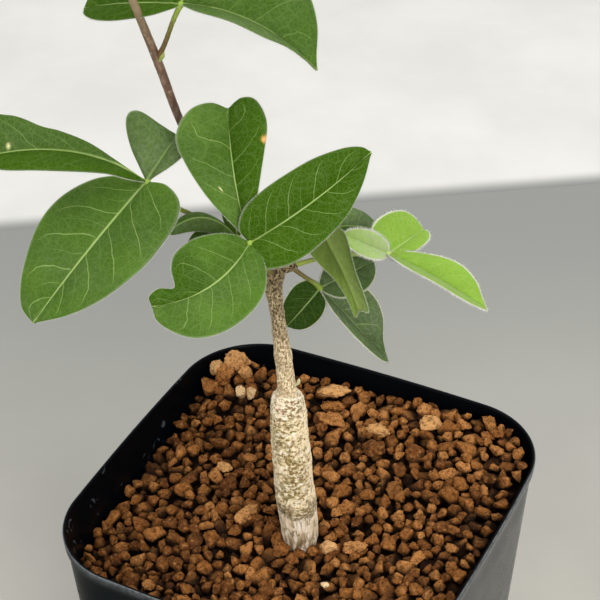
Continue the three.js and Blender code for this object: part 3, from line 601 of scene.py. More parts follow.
def bark_material():
    """Pale flaky bark with olive pits, over a smooth streaked foot and under a browner neck."""
    shader = Shader("bark")
    height = shader.value("height")
    zones = shader.noise(6.5, 3.0, 0.5, (1, 1, 0.5))
    worms = shader.noise(1.0, 4.0, 0.66, (1, 1, 1.5))
    flecks = shader.noise(0.34, 4.0, 0.65)
    patches = shader.noise(3.4, 3.0, 0.5)
    streak = shader.noise(0.8, 3.0, 0.55, (1, 1, 0.16))
    strands = shader.noise(0.5, 4.0, 0.62, (1.35, 1.35, 0.7))
    # The net thins on the caudex's left and right sides, seen edge-on from its best side: painted edge light
    netting = shader.plus(
        worms, shader.fade(zones, 0.34, 0.66, -0.055, 0.04),
        shader.fade(height, SHOULDER - 6, SHOULDER, 0.0, 0.015), shader.times(shader.value("bare"), 0.035),
    )
    olive = shader.paint((0.21, 0.125, 0.045), ((0.19, 0.145, 0.04), patches, 0.4, 0.6))
    netted = shader.paint(
        (0.62, 0.515, 0.265),
        ((0.90, 0.74, 0.475), zones, 0.38, 0.6),
        ((1.0, 0.95, 0.83), worms, 0.53, 0.62, 0.0, 0.85),
        ((1.0, 0.90, 0.80), height, SHOULDER - 5, SHOULDER, 0.0, 0.4),
        (olive, netting, 0.415, 0.505, 0.95, 0.0),
        (olive, shader.value("pits"), 0.2, 0.9, 0.0, 0.7),
        (olive, flecks, 0.34, 0.42, 0.45, 0.0),
    )
    cracks = shader.off_middle(shader.noise(1.5, 3.0, 0.5, (1, 1, 0.2)))
    soiled = shader.fade(height, SOIL_LEVEL + 1.0, SOIL_LEVEL + 7.5, 1.0, 0.0)
    foot = shader.ramp(
        streak, (0.3, (0.44, 0.33, 0.20)), (0.47, (0.84, 0.69, 0.51)), (0.64, (1.0, 0.93, 0.82)),
    )
    foot = shader.paint(
        foot,
        ((0.50, 0.41, 0.22), patches, 0.48, 0.62, 0.0, 0.5),
        ((0.20, 0.13, 0.06), cracks, 0.0, 0.03, 1.0, 0.0),
        ((0.11, 0.06, 0.02), shader.times(soiled, shader.fade(streak, 0.42, 0.6, 1.0, 0.3))),
    )
    # The neck's dark bark and its strands grow darker towards the neck's head
    neck_dark = shader.paint((0.34, 0.23, 0.11), ((0.05, 0.032, 0.012), height, NECK_FOOT, NECK_HEAD))
    pale = shader.paint((0.88, 0.73, 0.49), ((0.44, 0.35, 0.20), height, NECK_FOOT + 4, NECK_HEAD))
    bright = shader.paint((1.0, 0.93, 0.80), ((0.80, 0.70, 0.50), height, NECK_FOOT + 4, NECK_HEAD))
    neck = shader.paint(
        neck_dark, (pale, strands, 0.42, 0.57), (bright, strands, 0.58, 0.68, 0.0, 0.8),
        (neck_dark, patches, 0.5, 0.64, 0.0, 0.4),
    )
    crown = shader.paint((0.022, 0.013, 0.006), ((0.30, 0.23, 0.12), strands, 0.44, 0.6))
    edge = shader.plus(
        height, shader.fade(patches, 0.3, 0.7, -1.3, 1.3), shader.fade(worms, 0.3, 0.7, -0.6, 0.6),
    )
    ring = shader.times(
        shader.fade(edge, RING_HEIGHT - 0.3, RING_HEIGHT + 0.3),
        shader.fade(edge, RING_HEIGHT + 0.9, RING_HEIGHT + 5.1, 1.0, 0.0),
        shader.fade(worms, 0.45, 0.65, 1.0, 0.5),
    )
    colour = shader.paint(
        foot,
        (netted, edge, RING_HEIGHT, RING_HEIGHT + 0.4),
        ((0.15, 0.10, 0.035), ring),
        (neck, height, SHOULDER + 0.5, NECK_FOOT),
        (crown, height, NECK_HEAD + 1, NECK_HEAD + 5),
        ((0.30, 0.09, 0.05), shader.value("scar")),
    )
    return shader.finish(
        Base_Color=colour, Roughness=0.85, Normal=shader.bump(flecks, 0.1, shader.bump(worms, 0.3)),
        Specular_IOR_Level=0.25, Sheen_Weight=0.6, Sheen_Roughness=0.4, Sheen_Tint=(1.0, 0.86, 0.62),
    )


def twig_material():
    """Purple-brown bark with a pale bloom and dots, paler above the upper leaf."""
    shader = Shader("twig_bark")
    bloom = shader.noise(0.9, 4.0, 0.6, (1, 1, 0.35))
    brown = shader.ramp(
        bloom, (0.3, (0.070, 0.036, 0.022)), (0.5, (0.14, 0.078, 0.050)), (0.72, (0.29, 0.20, 0.14)),
    )
    colour = shader.paint(
        brown,
        ((0.34, 0.27, 0.15), shader.position("Z"), 192 * MM, 212 * MM, 0.0, 0.75),
        ((0.42, 0.33, 0.24), shader.cells(1.6, "F1"), 0.1, 0.2, 0.5, 0.0),
    )
    return shader.finish(Base_Color=colour, Roughness=0.5, Normal=shader.bump(bloom, 0.05))


def grain_material():
    """Baked clay: one tone a grain, mottled and pitted, with painted shade that darkens it the deeper it
    lies.
    """
    shader = Shader("clay_grains")
    tone = shader.value("tone")
    mottle = shader.noise(1.0, 5.0, 0.68)
    pores = shader.noise(0.42, 3.0, 0.6)
    clay = shader.ramp(
        tone, (0.0, (0.085, 0.029, 0.007)), (0.35, (0.20, 0.072, 0.017)), (0.62, (0.33, 0.127, 0.030)),
        (0.8, (0.50, 0.215, 0.062)), (0.92, (0.74, 0.40, 0.155)), (1.0, (1.0, 0.76, 0.45)),
    )
    pitted = shader.times(shader.fade(pores, 0.34, 0.44, 0.8, 0.0), shader.fade(tone, 0.8, 1.0, 1.0, 0.35))
    colour = shader.paint(
        clay,
        ((0.025, 0.008, 0.002), mottle, 0.36, 0.5, 0.675, 0.0),
        ((0.75, 0.38, 0.13), mottle, 0.54, 0.68, 0.0, 0.44),
        ((0.02, 0.007, 0.002), pitted),
        ((0.85, 0.55, 0.28), shader.cells(0.9, "F1"), 0.04, 0.13, 0.5, 0.0),
        # Painted shade between the grains: the deeper a point lies, the darker
        ((0.012, 0.005, 0.002), shader.value("depth"), -0.2, 1.9, 0.0, 0.97),
    )
    return shader.finish(
        Base_Color=colour, Roughness=0.85, Specular_IOR_Level=0.15,
        Normal=shader.bump(pores, 0.2, shader.bump(mottle, 0.8)),
    )


def pot_material(name, colour, worn, roughness, specular, film):
    """Thin black plastic with scuffs, a rim whose painted highlight is broken up with wear, and water marks;
    a film only where it is dusty.
    """
    shader = Shader(name)
    scuffs = shader.noise(0.5, 5.0, 0.7, (0.15, 0.15, 1))
    from_spot = shader.cells(5.0, "F1")
    spots = shader.fade(from_spot, 0.30, 0.34, 1.0, 0.0)
    holes = shader.fade(from_spot, 0.22, 0.27, 1.0, 0.0)
    some = shader.fade(shader.noise(2.2), 0.50, 0.60, 0.0, 0.6)
    mark = shader.times(shader.math("SUBTRACT", spots, holes), shader.value("splash"), some)
    # A paler rim: painted highlight along the top edge, broken up with wear
    rim_wear_and_highlight = shader.times(shader.value("rim"), shader.fade(shader.noise(1.5, 4.0), 0.25, 0.6, 0.3, 1.0))
    tint = shader.paint(
        colour,
        (worn, scuffs, 0.55, 0.8, 0.0, 0.25),
        ((0.09, 0.115, 0.14), mark),
        ((0.15, 0.165, 0.175), rim_wear_and_highlight),
    )
    if film:
        dust = shader.value("dust")
        specular = shader.fade(dust, 0.0, 1.0, 0.008, specular)
        film = shader.fade(dust, 0.0, 1.0, 0.0, film)
    return shader.finish(
        Base_Color=tint, Normal=shader.bump(scuffs, 0.006),
        Roughness=shader.fade(shader.noise(14.0, 4.0), 0.3, 0.7, roughness, roughness + 0.1),
        Specular_IOR_Level=specular, Sheen_Weight=film, Sheen_Roughness=0.25,
    )


def stage_material(name, colour, blur):
    """Cloudy matt sheet; a blur fades its front edge into the floor's painted shade over so many
    millimetres, and without a blur the sheet darkens towards the back with painted shade.
    """
    shader = Shader(name)
    tint = shader.paint(darker(colour, 0.9), (colour, shader.noise(60.0, 5.0), 0.3, 0.7))
    away = shader.position("Y")
    if blur:
        tint = shader.paint(FLOOR_SHADED_BEHIND, (tint, away, 0.0, blur * MM))
    else:
        tint = shader.paint(tint, (FLOOR_SHADED_BEHIND, away, *(end * MM for end in FLOOR_SHADE_FADE)))
    return shader.finish(Base_Color=tint, Roughness=0.7)


# Pot

def pot_ring(height, inset):
    """The pot's plan at a height, counter-clockwise, moved inwards by inset."""
    narrowing = (POT_HEIGHT - height) * POT_TAPER + inset
    half = POT_WIDTH / 2 - narrowing
    radius = POT_CORNER_RADIUS - narrowing
    straight = half - radius
    angles = np.linspace(0, math.pi / 2, CORNER_STEPS + 1)
    corner = np.stack([straight + radius * np.cos(angles), straight + radius * np.sin(angles)], -1)
    along = np.linspace(-1, 1, SIDE_POINTS + 2)[1:-1]
    edge = np.stack([-along * straight, half + SIDE_BULGE * (1 - along**2)], -1)
    quarter = np.concatenate([corner, edge])
    ring = []
    for cos, sin in QUARTERS:
        ring.append(quarter @ np.array([[cos, sin], [-sin, cos]]))
    ring = np.concatenate(ring)
    return np.column_stack([ring, np.full(len(ring), height)])


def pot_profile():
    """Height, inset and whether inside, from the middle of the foot up and back down within."""
    lip_foot = POT_HEIGHT - RIM_LIP_DEPTH
    inner = RIM_LIP_WIDTH + POT_WALL
    outside = [(0, RIM_LIP_WIDTH + FOOT_BEVEL), (0.35, RIM_LIP_WIDTH + 0.35), (FOOT_BEVEL, RIM_LIP_WIDTH)]
    outside += [(h, RIM_LIP_WIDTH) for h in np.linspace(FOOT_BEVEL + 3, lip_foot - 0.8, WALL_ROWS)]
    outside += [(lip_foot - 0.4, RIM_LIP_WIDTH - 0.05), (lip_foot, 0.15), (lip_foot + 0.4, 0.02)]
    outside += [(POT_HEIGHT - 0.3, 0), (POT_HEIGHT - 0.06, 0.1)]
    inside = [(POT_HEIGHT, 0.3), (POT_HEIGHT, 0.55), (POT_HEIGHT - 0.1, 0.72), (POT_HEIGHT - 0.5, 0.8)]
    inside += [(h, inner + (h - lip_foot + 4) * (0.8 - inner) / 6.5) for h in (lip_foot, lip_foot - 3)]
    inside += [(h, inner) for h in np.linspace(lip_foot - 4.4, POT_FLOOR + 3, WALL_ROWS)]
    inside += [(POT_FLOOR + 0.5, inner + 0.2), (POT_FLOOR, inner + 1.0)]
    return [(h, i, 0) for h, i in outside] + [(h, i, 1) for h, i in inside]


def build_pot(outer_material, inner_material):
    """Thin shell with its lip, floor and drains, and values for splashes, the rim's painted highlight with
    its wear, and dust.
    """
    profile = pot_profile()
    rings = np.array([pot_ring(height, inset) for height, inset, _ in profile])
    inside = np.repeat([[flag] for _, _, flag in profile], rings.shape[1], 1)
    angle = np.arctan2(rings[..., 1], rings[..., 0])
    swell = lumps(rings * [1, 1, 0.5], 18.0) * 0.06
    rings[..., :2] += swell[..., None] * np.stack([np.cos(angle), np.sin(angle)], -1)
    height = rings[..., 2]
    left_wall = smooth_step(math.pi * 0.73, math.pi * 0.78, np.abs(angle))
    values = {
        "splash": inside * left_wall * smooth_step(70, 73, height),
        "rim": smooth_step(POT_HEIGHT - 0.5, POT_HEIGHT - 0.15, height) * (1 - inside),
        "dust": smooth_step(math.pi * 0.35, math.pi * 0.2, np.abs(angle)),
    }
    pot = ringed_piece(
        "pot_shell", rings * MM, [outer_material, inner_material], "pot", ("pot",), values,
        [*inside[:-1].ravel(), 0, 1],
    )
    cutter = drain_cutter()
    cut = pot.modifiers.new("drains", "BOOLEAN")
    cut.operation, cut.solver, cut.object = "DIFFERENCE", "EXACT", cutter
    shaped = bpy.data.meshes.new_from_object(pot.evaluated_get(bpy.context.evaluated_depsgraph_get()))
    pot.modifiers.clear()
    pot.data = shaped
    bpy.data.objects.remove(cutter)


def drain_cutter():
    """One mesh of upright cylinders, one for each drain hole in the pot's floor."""
    points, faces = [], []
    for radius, x, y in DRAINS:
        for cos, sin in QUARTERS:
            faces += capped_faces(2, DRAIN_SIDES, len(points))
            for height in (-3.0, POT_FLOOR + 3.0):
                centre = (x * cos - y * sin, x * sin + y * cos, height)
                points += (radius * circle(DRAIN_SIDES) + centre).tolist()
    return new_object("drain_cutter", new_mesh("drain_cutter", np.array(points) * MM, faces))


# Soil

def soil_level(x, y):
    right, back = plant_axes(x, y)
    level = SOIL_LEVEL + SOIL_RISE_RIGHT * right + SOIL_RISE_BACK * back
    for heap_right, heap_back, rise, spread in HEAPS:
        distance = np.hypot(right - heap_right, back - heap_back)
        level = level + rise * np.exp(-((distance / spread) ** 2) / 2)
    return level


def depth_in_soil(points):
    return soil_level(points[..., 0], points[..., 1]) - points[..., 2]


def inside_wall(x, y, height):
    """Room between a point and the pot's inner wall."""
    narrowing = (POT_HEIGHT - height) * POT_TAPER + RIM_LIP_WIDTH + POT_WALL
    half = POT_WIDTH / 2 - narrowing
    radius = POT_CORNER_RADIUS - narrowing
    out = np.maximum(np.abs(np.stack([x, y], -1)) - (half - radius), 0)
    return radius - np.linalg.norm(out, axis=-1)


def settle_grains(random):
    """Drops grains one at a time; each rolls to a hollow among those that lie there."""
    trunk = from_plant((-1.0, TRUNK_DEPTH, 0))[:2] / MM
    steps = np.array([(0, 0), (1, 0), (0.5, 0.87), (-0.5, 0.87), (-1, 0), (-0.5, -0.87), (0.5, -0.87)])
    placed = np.zeros((GRAIN_TRIES, 4))
    count = 0
    half = POT_WIDTH / 2

    def rest_height(spots, radius):
        bed = soil_level(spots[:, 0], spots[:, 1]) - BED_DEPTH
        grains = placed[:count]
        near = grains[np.abs(grains[:, :2] - spots[0]).max(1) < GRAIN_REACH]
        if not len(near):
            return bed
        away = np.linalg.norm(spots[:, None] - near[None, :, :2], axis=-1)
        touch = (near[None, :, 3] + radius) * GRAIN_PACKING
        lift = np.sqrt(np.maximum(touch**2 - away**2, 0))
        heights = np.where(away < touch, near[None, :, 2] + lift, -NOWHERE).max(1)
        return np.maximum(heights, bed)

    low, high = GRAIN_RADII
    for _ in range(GRAIN_TRIES):
        radius = low * (high / low) ** (random.random() ** 1.15)
        spot = random.uniform(-half, half, 2)
        for step in ROLLS:
            spots = spot + steps * step * radius
            heights = rest_height(spots, radius)
            outside = inside_wall(spots[:, 0], spots[:, 1], SOIL_LEVEL) < radius * 0.92
            outside |= np.linalg.norm(spots - trunk, axis=1) < TRUNK_ROOM + radius * 0.85
            heights = np.where(outside, NOWHERE, heights)
            best = heights.argmin()
            spot = spots[best]
        height = heights[best]
        if height == NOWHERE or height + radius * 0.6 > soil_level(*spot) + random.uniform(-0.6, 0.9):
            continue
        placed[count] = (*spot, height, radius)
        count += 1
    return placed[:count]


def ball(subdivisions):
    """Points and triangles of a round ball of radius 1."""
    shape = bmesh.new()
    bmesh.ops.create_icosphere(shape, subdivisions=subdivisions, radius=1)
    points = np.array([v.co for v in shape.verts])
    faces = np.array([[v.index for v in f.verts] for f in shape.faces])
    shape.free()
    return points, faces


def ripples(base, count, random, *waves):
    """A factor near 1 at each point of count balls, from waves of a height and a frequency."""
    factor = 1.0
    for height, frequency in waves:
        ways = random.normal(size=(count, 3, 3)) * frequency
        phases = random.uniform(0, 2 * math.pi, (count, 3))
        swing = np.sin(np.einsum("nkc,vc->nvk", ways, base) + phases[:, None]).sum(-1)
        factor = factor + height * swing[..., None]
    return factor


def stone_points(base, count, random, squash, cuts=7, deepest=0.42):
    """Count rough stones from a ball: lumpy, then chipped flat on several sides."""
    directions = unit(random.normal(size=(count, cuts, 3)))
    offsets = random.uniform(deepest, 0.8, (count, cuts))
    points = base[None] * ripples(base, count, random, (0.07, 2.2))
    for cut in range(cuts):
        depth = np.einsum("nvc,nc->nv", points, directions[:, cut]) - offsets[:, None, cut]
        points = points - np.maximum(depth, 0)[..., None] * directions[:, None, cut]
    points = points * ripples(base, count, random, (0.055, 5.5), (0.036, 11.0)) * squash[:, None]
    w, x, y, z = unit(random.normal(size=(count, 4))).T
    turn = np.array([
        [1 - 2 * (y * y + z * z), 2 * (x * y - z * w), 2 * (x * z + y * w)],
        [2 * (x * y + z * w), 1 - 2 * (x * x + z * z), 2 * (y * z - x * w)],
        [2 * (x * z - y * w), 2 * (y * z + x * w), 1 - 2 * (x * x + y * y)],
    ])
    return np.einsum("ijn,nvj->nvi", turn, points)


def stone_piece(name, points, triangles, tones, material):
    """One piece of many stones, each with a tone of its own."""
    count, size = points.shape[:2]
    values = {"tone": np.repeat(tones, size), "depth": depth_in_soil(points)}
    new_piece(name, points * MM, copied_faces(triangles, count, size), [material], "soil", (), values)


def stone_heap(name, spots, tones, subdivisions, random, material):
    """Grains at spots, which have a place and a radius."""
    base, triangles = ball(subdivisions)
    squash = random.uniform((0.95, 0.85, 0.7), (1.3, 1.1, 1.0), (len(spots), 3))
    points = stone_points(base, len(spots), random, squash) * spots[:, None, 3:4] * 1.14 + spots[:, None, :3]
    stone_piece(name, points, triangles, tones, material)


def build_stones(grains, material):
    """The larger stones, each on top of the grains near its place."""
    base, triangles = ball(4)
    random = np.random.default_rng(STONE_SEED)
    rough = stone_points(base, len(STONES), random, np.ones((len(STONES), 3)), 9, 0.6)
    points = []
    for shape, (right, back, long, wide, high, turn, _) in zip(rough, STONES):
        spot = from_plant((right, back, 0))[:2] / MM
        spot *= 1 - max(0, 0.8 * long - inside_wall(*spot, SOIL_LEVEL)) / np.linalg.norm(spot)
        near = grains[np.linalg.norm(grains[:, :2] - spot, axis=1) < long + 1]
        top = max((near[:, 2] + 0.5 * near[:, 3]).max(), soil_level(*spot) - 0.5)
        shape = turned(shape * (long, wide, high), math.radians(turn) + PLANT_TURN)
        points.append(shape + (*spot, top + 0.3 * high))
    stone_piece("soil_stones", np.array(points), triangles, [stone[6] for stone in STONES], material)


def build_bed(material):
    """The soil's body under its grains."""
    heights = np.linspace(POT_FLOOR + BED_GAP, SOIL_LEVEL - 4.0, 12)
    rings = np.array([pot_ring(height, RIM_LIP_WIDTH + POT_WALL + BED_GAP) for height in heights])
    rings[-1, :, 2] = soil_level(rings[-1, :, 0], rings[-1, :, 1]) - BED_DEPTH + 1.2
    # The bed lies deep, so it takes the grains' painted shade in full
    values = {"tone": np.zeros(rings.shape[:2]), "depth": np.full(rings.shape[:2], BED_DEPTH)}
    ringed_piece("soil_bed", rings * MM, [material], "soil", ("soil",), values)


def build_soil(material):
    """A bed, grains settled on it one by one, and larger stones where the photo has them."""
    random = np.random.default_rng(GRAIN_SEED)
    build_bed(material)
    grains = settle_grains(random)
    # Grains lying further to the right of the plant are paler: painted light
    painted_light_right = 0.0022 * plant_axes(grains[:, 0], grains[:, 1])[0]
    tones = np.clip(random.normal(0.54, 0.17, len(grains)) + painted_light_right, 0, 0.79)
    seen = depth_in_soil(grains) < SEEN_DEPTH
    stone_heap("soil_under", grains[~seen], tones[~seen], 1, random, material)
    top, top_tones = grains[seen], tones[seen]
    order = np.argsort(np.arctan2(top[:, 1], top[:, 0]))
    for number, share in enumerate(np.array_split(order, 3), 1):
        stone_heap(f"soil_top_{number}", top[share], top_tones[share], 3, random, material)
    build_stones(grains, material)


# Stem

def tube(path, radii, sides, steps, bumps=0.0, seed=0.0):
    """Rings of points round a smooth path."""
    shares = np.linspace(0, 1, steps + 1)
    centre = smooth_path(path, shares)
    radius = np.interp(shares, np.linspace(0, 1, len(radii)), radii)
    ahead = unit(np.gradient(centre, axis=0))
    first = unit(np.cross(ahead, (0.31, 0.9, 0.12)))
    second = np.cross(ahead, first)
    cos, sin, _ = circle(sides).T[..., None]
    spread = first[:, None] * cos + second[:, None] * sin
    rings = centre[:, None] + radius[:, None, None] * spread
    if bumps:
        rings = rings + spread * (lumps(rings, 0.9, seed) * bumps)[..., None]
    return rings


def bark_relief(skin):
    """How far the bark stands out of a smooth skin, and how deep in its pits each point is."""
    height = skin[..., 2]
    worms = np.abs(lumps(skin * [0.8, 0.8, 1.7], 1.15, 3.0) + 0.35 * lumps(skin, 0.5, 9.0))
    pits = smooth_step(0.15, 0.03, worms)
    netted = smooth_step(RING_HEIGHT - 0.6, RING_HEIGHT + 0.8, height + 1.2 * lumps(skin, 3.0, 5.0))
    netted = netted * (1 - smooth_step(NECK_HEAD, NECK_HEAD + 5, height))
    finer = 1 - 0.5 * smooth_step(SHOULDER - 2, NECK_FOOT, height)
    swell = 0.20 * lumps(skin * [1, 1, 0.8], 5.0, 1.0) + 0.13 * lumps(skin, 1.8, 2.0)
    flakes = 0.3 * np.maximum(lumps(skin * [1, 1, 1.5], 0.85, 12.0), 0) * netted * finer
    streaks = 0.14 * lumps(skin * [1, 1, 0.12], 0.8, 7.0) * (height < RING_HEIGHT + 0.5)
    crown = 0.4 * lumps(skin, 1.2, 8.0) * smooth_step(NECK_HEAD, NECK_HEAD + 6, height)
    push = swell * finer + netted * (0.14 - 0.36 * pits * finer) + flakes + streaks + crown
    return np.where(height < BARK_FOOT, 0, push), pits * netted


def build_caudex(material, bud_material):
    """Caudex and neck with their bark in relief, the short spur beside the crown, and a bud."""
    shares = np.linspace(0, 1, CAUDEX_STEPS + 1) ** 0.8
    centre = smooth_path([(x, TRUNK_DEPTH, z) for x, z, _ in TRUNK], shares)
    radius = smooth_path([(r, 0, 0) for _, _, r in TRUNK], shares)[:, 0]
    spread = circle(CAUDEX_SIDES)
    skin = centre[:, None] + radius[:, None, None] * spread
    height = skin[..., 2]
    push, pits = bark_relief(skin)
    scar_spot = np.array([-4.2, TRUNK_DEPTH - 3.3, 114.0])
    scar = smooth_step(1.3, 0.5, np.linalg.norm((skin - scar_spot) * [1, 0.6, 1.6], axis=-1))
    scar = scar * (lumps(skin, 0.5, 4.0) > -0.1)
    # Fewer pits on the sides seen edge-on from the best side: painted edge light
    bare = np.broadcast_to(smooth_step(0.6, 0.95, np.abs(spread[:, 0])), height.shape)
    values = {"height": height, "pits": pits, "scar": scar * 0.8, "bare": bare}
    points = skin + spread * push[..., None]
    ringed_piece("caudex_bark", from_plant(points), [material], "bark", ("caudex",), values)
    rings = tube(SPUR, [1.7, 1.5, 1.35, 0.9], 40, 40, 0.28, 6.0)
    none = np.zeros(rings.shape[:2])
    values = {"height": none + SPUR_HEIGHT, "pits": none, "scar": none, "bare": none}
    ringed_piece("caudex_spur", from_plant(rings), [material], "bark", (), values)
    rings = tube(SHOULDER_BUD, [0.4, 0.38, 0.34, 0.1], 20, 16, 0.15)
    ringed_piece("caudex_bud", from_plant(rings), [bud_material], "bark")


def build_twig(material, bud_material):
    """The slender shoot, a little thicker at each leaf, with a bud in the leaf's axil."""
    rings = tube(TWIG, TWIG_RADII, 28, 260, 0.05)
    ringed_piece("twig_bark", from_plant(rings), [material], "twig", ("twig",))
    rings = tube(TWIG_BUD, [0.3, 0.48, 0.1], 16, 12)
    ringed_piece("twig_bud", from_plant(rings), [bud_material], "mature_leaf")


# Leaves

def blade_grid(joint, leaflet, seed):
    """Middle surface of a leaflet, with the values that its veins are drawn from."""
    tip, faces, left, right, arch, sway = leaflet
    base = np.array(joint, float)
    span = np.array(tip, float) - base
    length = np.linalg.norm(span)
    ahead = span / length
    up = np.array(faces, float)
    up = unit(up - (up @ ahead) * ahead)
    rightward = np.cross(ahead, up)
    share = np.linspace(BLADE_START, BLADE_END, BLADE_ROWS + 1)
    out = np.linspace(-1, 1, 2 * HALF_COLUMNS + 1)
    left_edge, right_edge = (smooth_path([(0, 0), *half[0], (1, 0)], share) for half in (left, right))
    sign = np.where(out < 0, -1, 1)
    edge = np.where((sign < 0)[None, :, None], left_edge[:, None], right_edge[:, None])
    width = np.where(sign < 0, left[1], right[1]) * length
    fold = np.radians(np.where(sign < 0, left[2], right[2]))
    reach = np.abs(out)
    along = share[:, None] * (1 - reach) + edge[..., 0] * reach
    across = edge[..., 1] * width * reach
    bow = 4 * along * (1 - along)
    local = np.maximum(edge[..., 1] * width, 1e-6)
    cup = 0.09 * local * 4 * reach * (1 - reach)
    flat = np.stack([along * length, across * sign, np.zeros_like(along)], -1)
    wave = 0.75 * reach**1.5 * lumps(flat, 8.5, seed) * smooth_step(0, 4, across)
    vein = vein_phase(along, reach, sign, flat, seed)
    off_line = np.abs(np.mod(vein, 1) - 0.5)
    inner = smooth_step(0.05, 0.2, reach) * (1 - smooth_step(0.8, 1.0, reach))
    quilt = 0.17 * (smooth_step(0.0, 0.3, off_line) - 0.5) * inner * min(length / 25, 1)
    rib = 0.16 * np.exp(-((across / 0.4) ** 2)) * (1 - along)
    rise = across * np.sin(fold) + cup + wave + quilt - rib
    grid = (
        base
        + along[..., None] * span
        + (bow * arch)[..., None] * up
        + (bow * sway)[..., None] * rightward
        + (across * sign * np.cos(fold))[..., None] * rightward
        + rise[..., None] * up
    )
    side = np.broadcast_to(out, along.shape)
    values = {"along": along, "side": side, "across": across * sign, "vein": vein}
    return grid, values


def vein_phase(along, reach, sign, flat, seed):
    """Counts side veins from base to tip: a vein lies where the count is a whole number and a half.
    Away from the midrib the veins slant to the tip, and near the edge they turn along it."""
    slant = 0.21 * reach + 0.13 * reach**6
    stagger = 0.45 * (sign > 0) * smooth_step(0.0, 0.05, reach)
    bend = 0.16 * lumps(flat, 6.0, seed + 20) + 0.05 * lumps(flat, 1.6, seed + 30)
    return (along - slant) * VEIN_PAIRS + stagger + bend


def grid_normals(grid):
    down, across = np.gradient(grid, axis=0), np.gradient(grid, axis=1)
    return unit(np.cross(down, across) * -1.0 + 1e-12)


def border_loop(rows, columns):
    """Indices round a grid of points, up its right side first."""
    up = [row * columns + columns - 1 for row in range(rows - 1)]
    over = [(rows - 1) * columns + column for column in range(columns - 1, 0, -1)]
    down = [row * columns for row in range(rows - 1, 0, -1)]
    return up + over + down + list(range(columns - 1))


def blade_mesh(grid, values):
    """Thickens the middle surface: points, faces, values at points, and the side of each face."""
    rows, columns = grid.shape[:2]
    up = grid_normals(grid)
    edge = np.abs(values["side"]) ** 10
    half = BLADE_THICKNESS / 2 * (1 - 0.5 * edge)
    rib = 0.26 * np.exp(-((values["across"] / 0.35) ** 2)) * (1 - 0.7 * np.clip(values["along"], 0, 1))
    rib = rib * values["ribbed"]
    top = grid + up * half[..., None]
    under = grid - up * (half + rib)[..., None]
    points = np.concatenate([top.reshape(-1, 3), under.reshape(-1, 3)])
    count = rows * columns
    upper = grid_faces(rows, columns, flipped=True)
    lower = grid_faces(rows, columns, count)
    loop = np.array(border_loop(rows, columns))
    onward = np.roll(loop, -1)
    wall = np.stack([loop, loop + count, onward + count, onward], -1)
    faces = np.concatenate([upper, lower, wall])
    sides = np.concatenate([np.zeros(len(upper)), np.ones(len(lower)), np.zeros(len(wall))]).astype(int)
    values = {label: np.tile(np.ravel(data), 2) for label, data in values.items()}
    return points, faces, values, sides


def hair_mesh(grid, random, length, girth):
    """Tiny tapered hairs that stand out of a blade's edge."""
    rows, columns = grid.shape[:2]
    flat = grid.reshape(-1, 3)
    loop = np.array(border_loop(rows, columns))
    edge = flat[loop]
    row, column = loop // columns, loop % columns
    inward = np.clip(row, 1, rows - 2) * columns + np.clip(column, 1, columns - 2)
    outward = unit(edge - flat[inward] + 1e-12)
    stretch = np.linalg.norm(np.roll(edge, -1, 0) - edge, axis=1)
    distance = np.concatenate([[0], np.cumsum(stretch)])
    spots = np.arange(0, distance[-1], HAIR_SPACING)
    spots = spots + random.uniform(-0.1, 0.1, len(spots))
    index = np.clip(np.searchsorted(distance, spots) - 1, 0, len(loop) - 1)
    t = ((spots - distance[index]) / np.maximum(stretch[index], 1e-9))[:, None]
    onward = (index + 1) % len(loop)
    root = edge[index] * (1 - t) + edge[onward] * t
    way = unit(outward[index] + HAIR_SPREAD * random.normal(size=(len(spots), 3)))
    reach = (length * random.uniform(0.6, 1.0, len(spots)))[:, None]
    first = unit(np.cross(way, (0.3, 0.5, 0.8)))
    second = np.cross(way, first)
    around = [math.cos(angle) * first + math.sin(angle) * second for angle in HAIR_ANGLES]
    corners = [root - way * 0.1 + girth * side for side in around]
    points = np.stack([*corners, root + way * reach], 1)
    sides = np.array([(0, 1, 3), (1, 2, 3), (2, 0, 3), (0, 2, 1)])
    return points, copied_faces(sides, len(spots), 4)


def add_tones(name, index, grid, values, seed):
    """Adds to each point of a leaflet its painted shade, its down with painted sheen, and how veined and
    marked it is.
    """
    left, right = TONES.get((name, index), USUAL_TONES)
    on_right = smooth_step(-0.06, 0.06, values["side"])
    for label, start, end in zip(("painted_shade", "down", "veined"), left, right):
        values[label] = start + (end - start) * on_right
    tips = TIP_PAINTED_SHADE.get((name, index), (0.0, 0.0))
    # Painted shade that grows or fades towards the tip
    tip_shade = (tips[0] + (tips[1] - tips[0]) * on_right) * smooth_step(0.4, 0.75, values["along"])
    values["painted_shade"] = values["painted_shade"] + tip_shade + 0.4 * lumps(grid, 9.0, seed)
    values["down"] = values["down"] * (1 + 0.6 * lumps(grid, 7.0, seed + 5)) * (1 - np.clip(tip_shade, 0, 1))
    values["ribbed"] = np.clip(values["veined"] * 2.5, 0, 1)
    values["broad"] = np.full(grid.shape[:2], BROAD_RIBS.get((name, index), 1.0))
    values.update(brown=np.zeros(grid.shape[:2]), pale=np.zeros(grid.shape[:2]))
    for leaflet, along, side, radius, kind in BLEMISHES.get(name, []):
        if leaflet == index:
            off = np.abs(values["along"] - along) + np.abs(values["side"] - side)
            spot = grid.reshape(-1, 3)[off.argmin()]
            distance = np.linalg.norm(grid - spot, axis=-1)
            values[kind] = np.maximum(values[kind], smooth_step(radius, 0.4 * radius, distance))


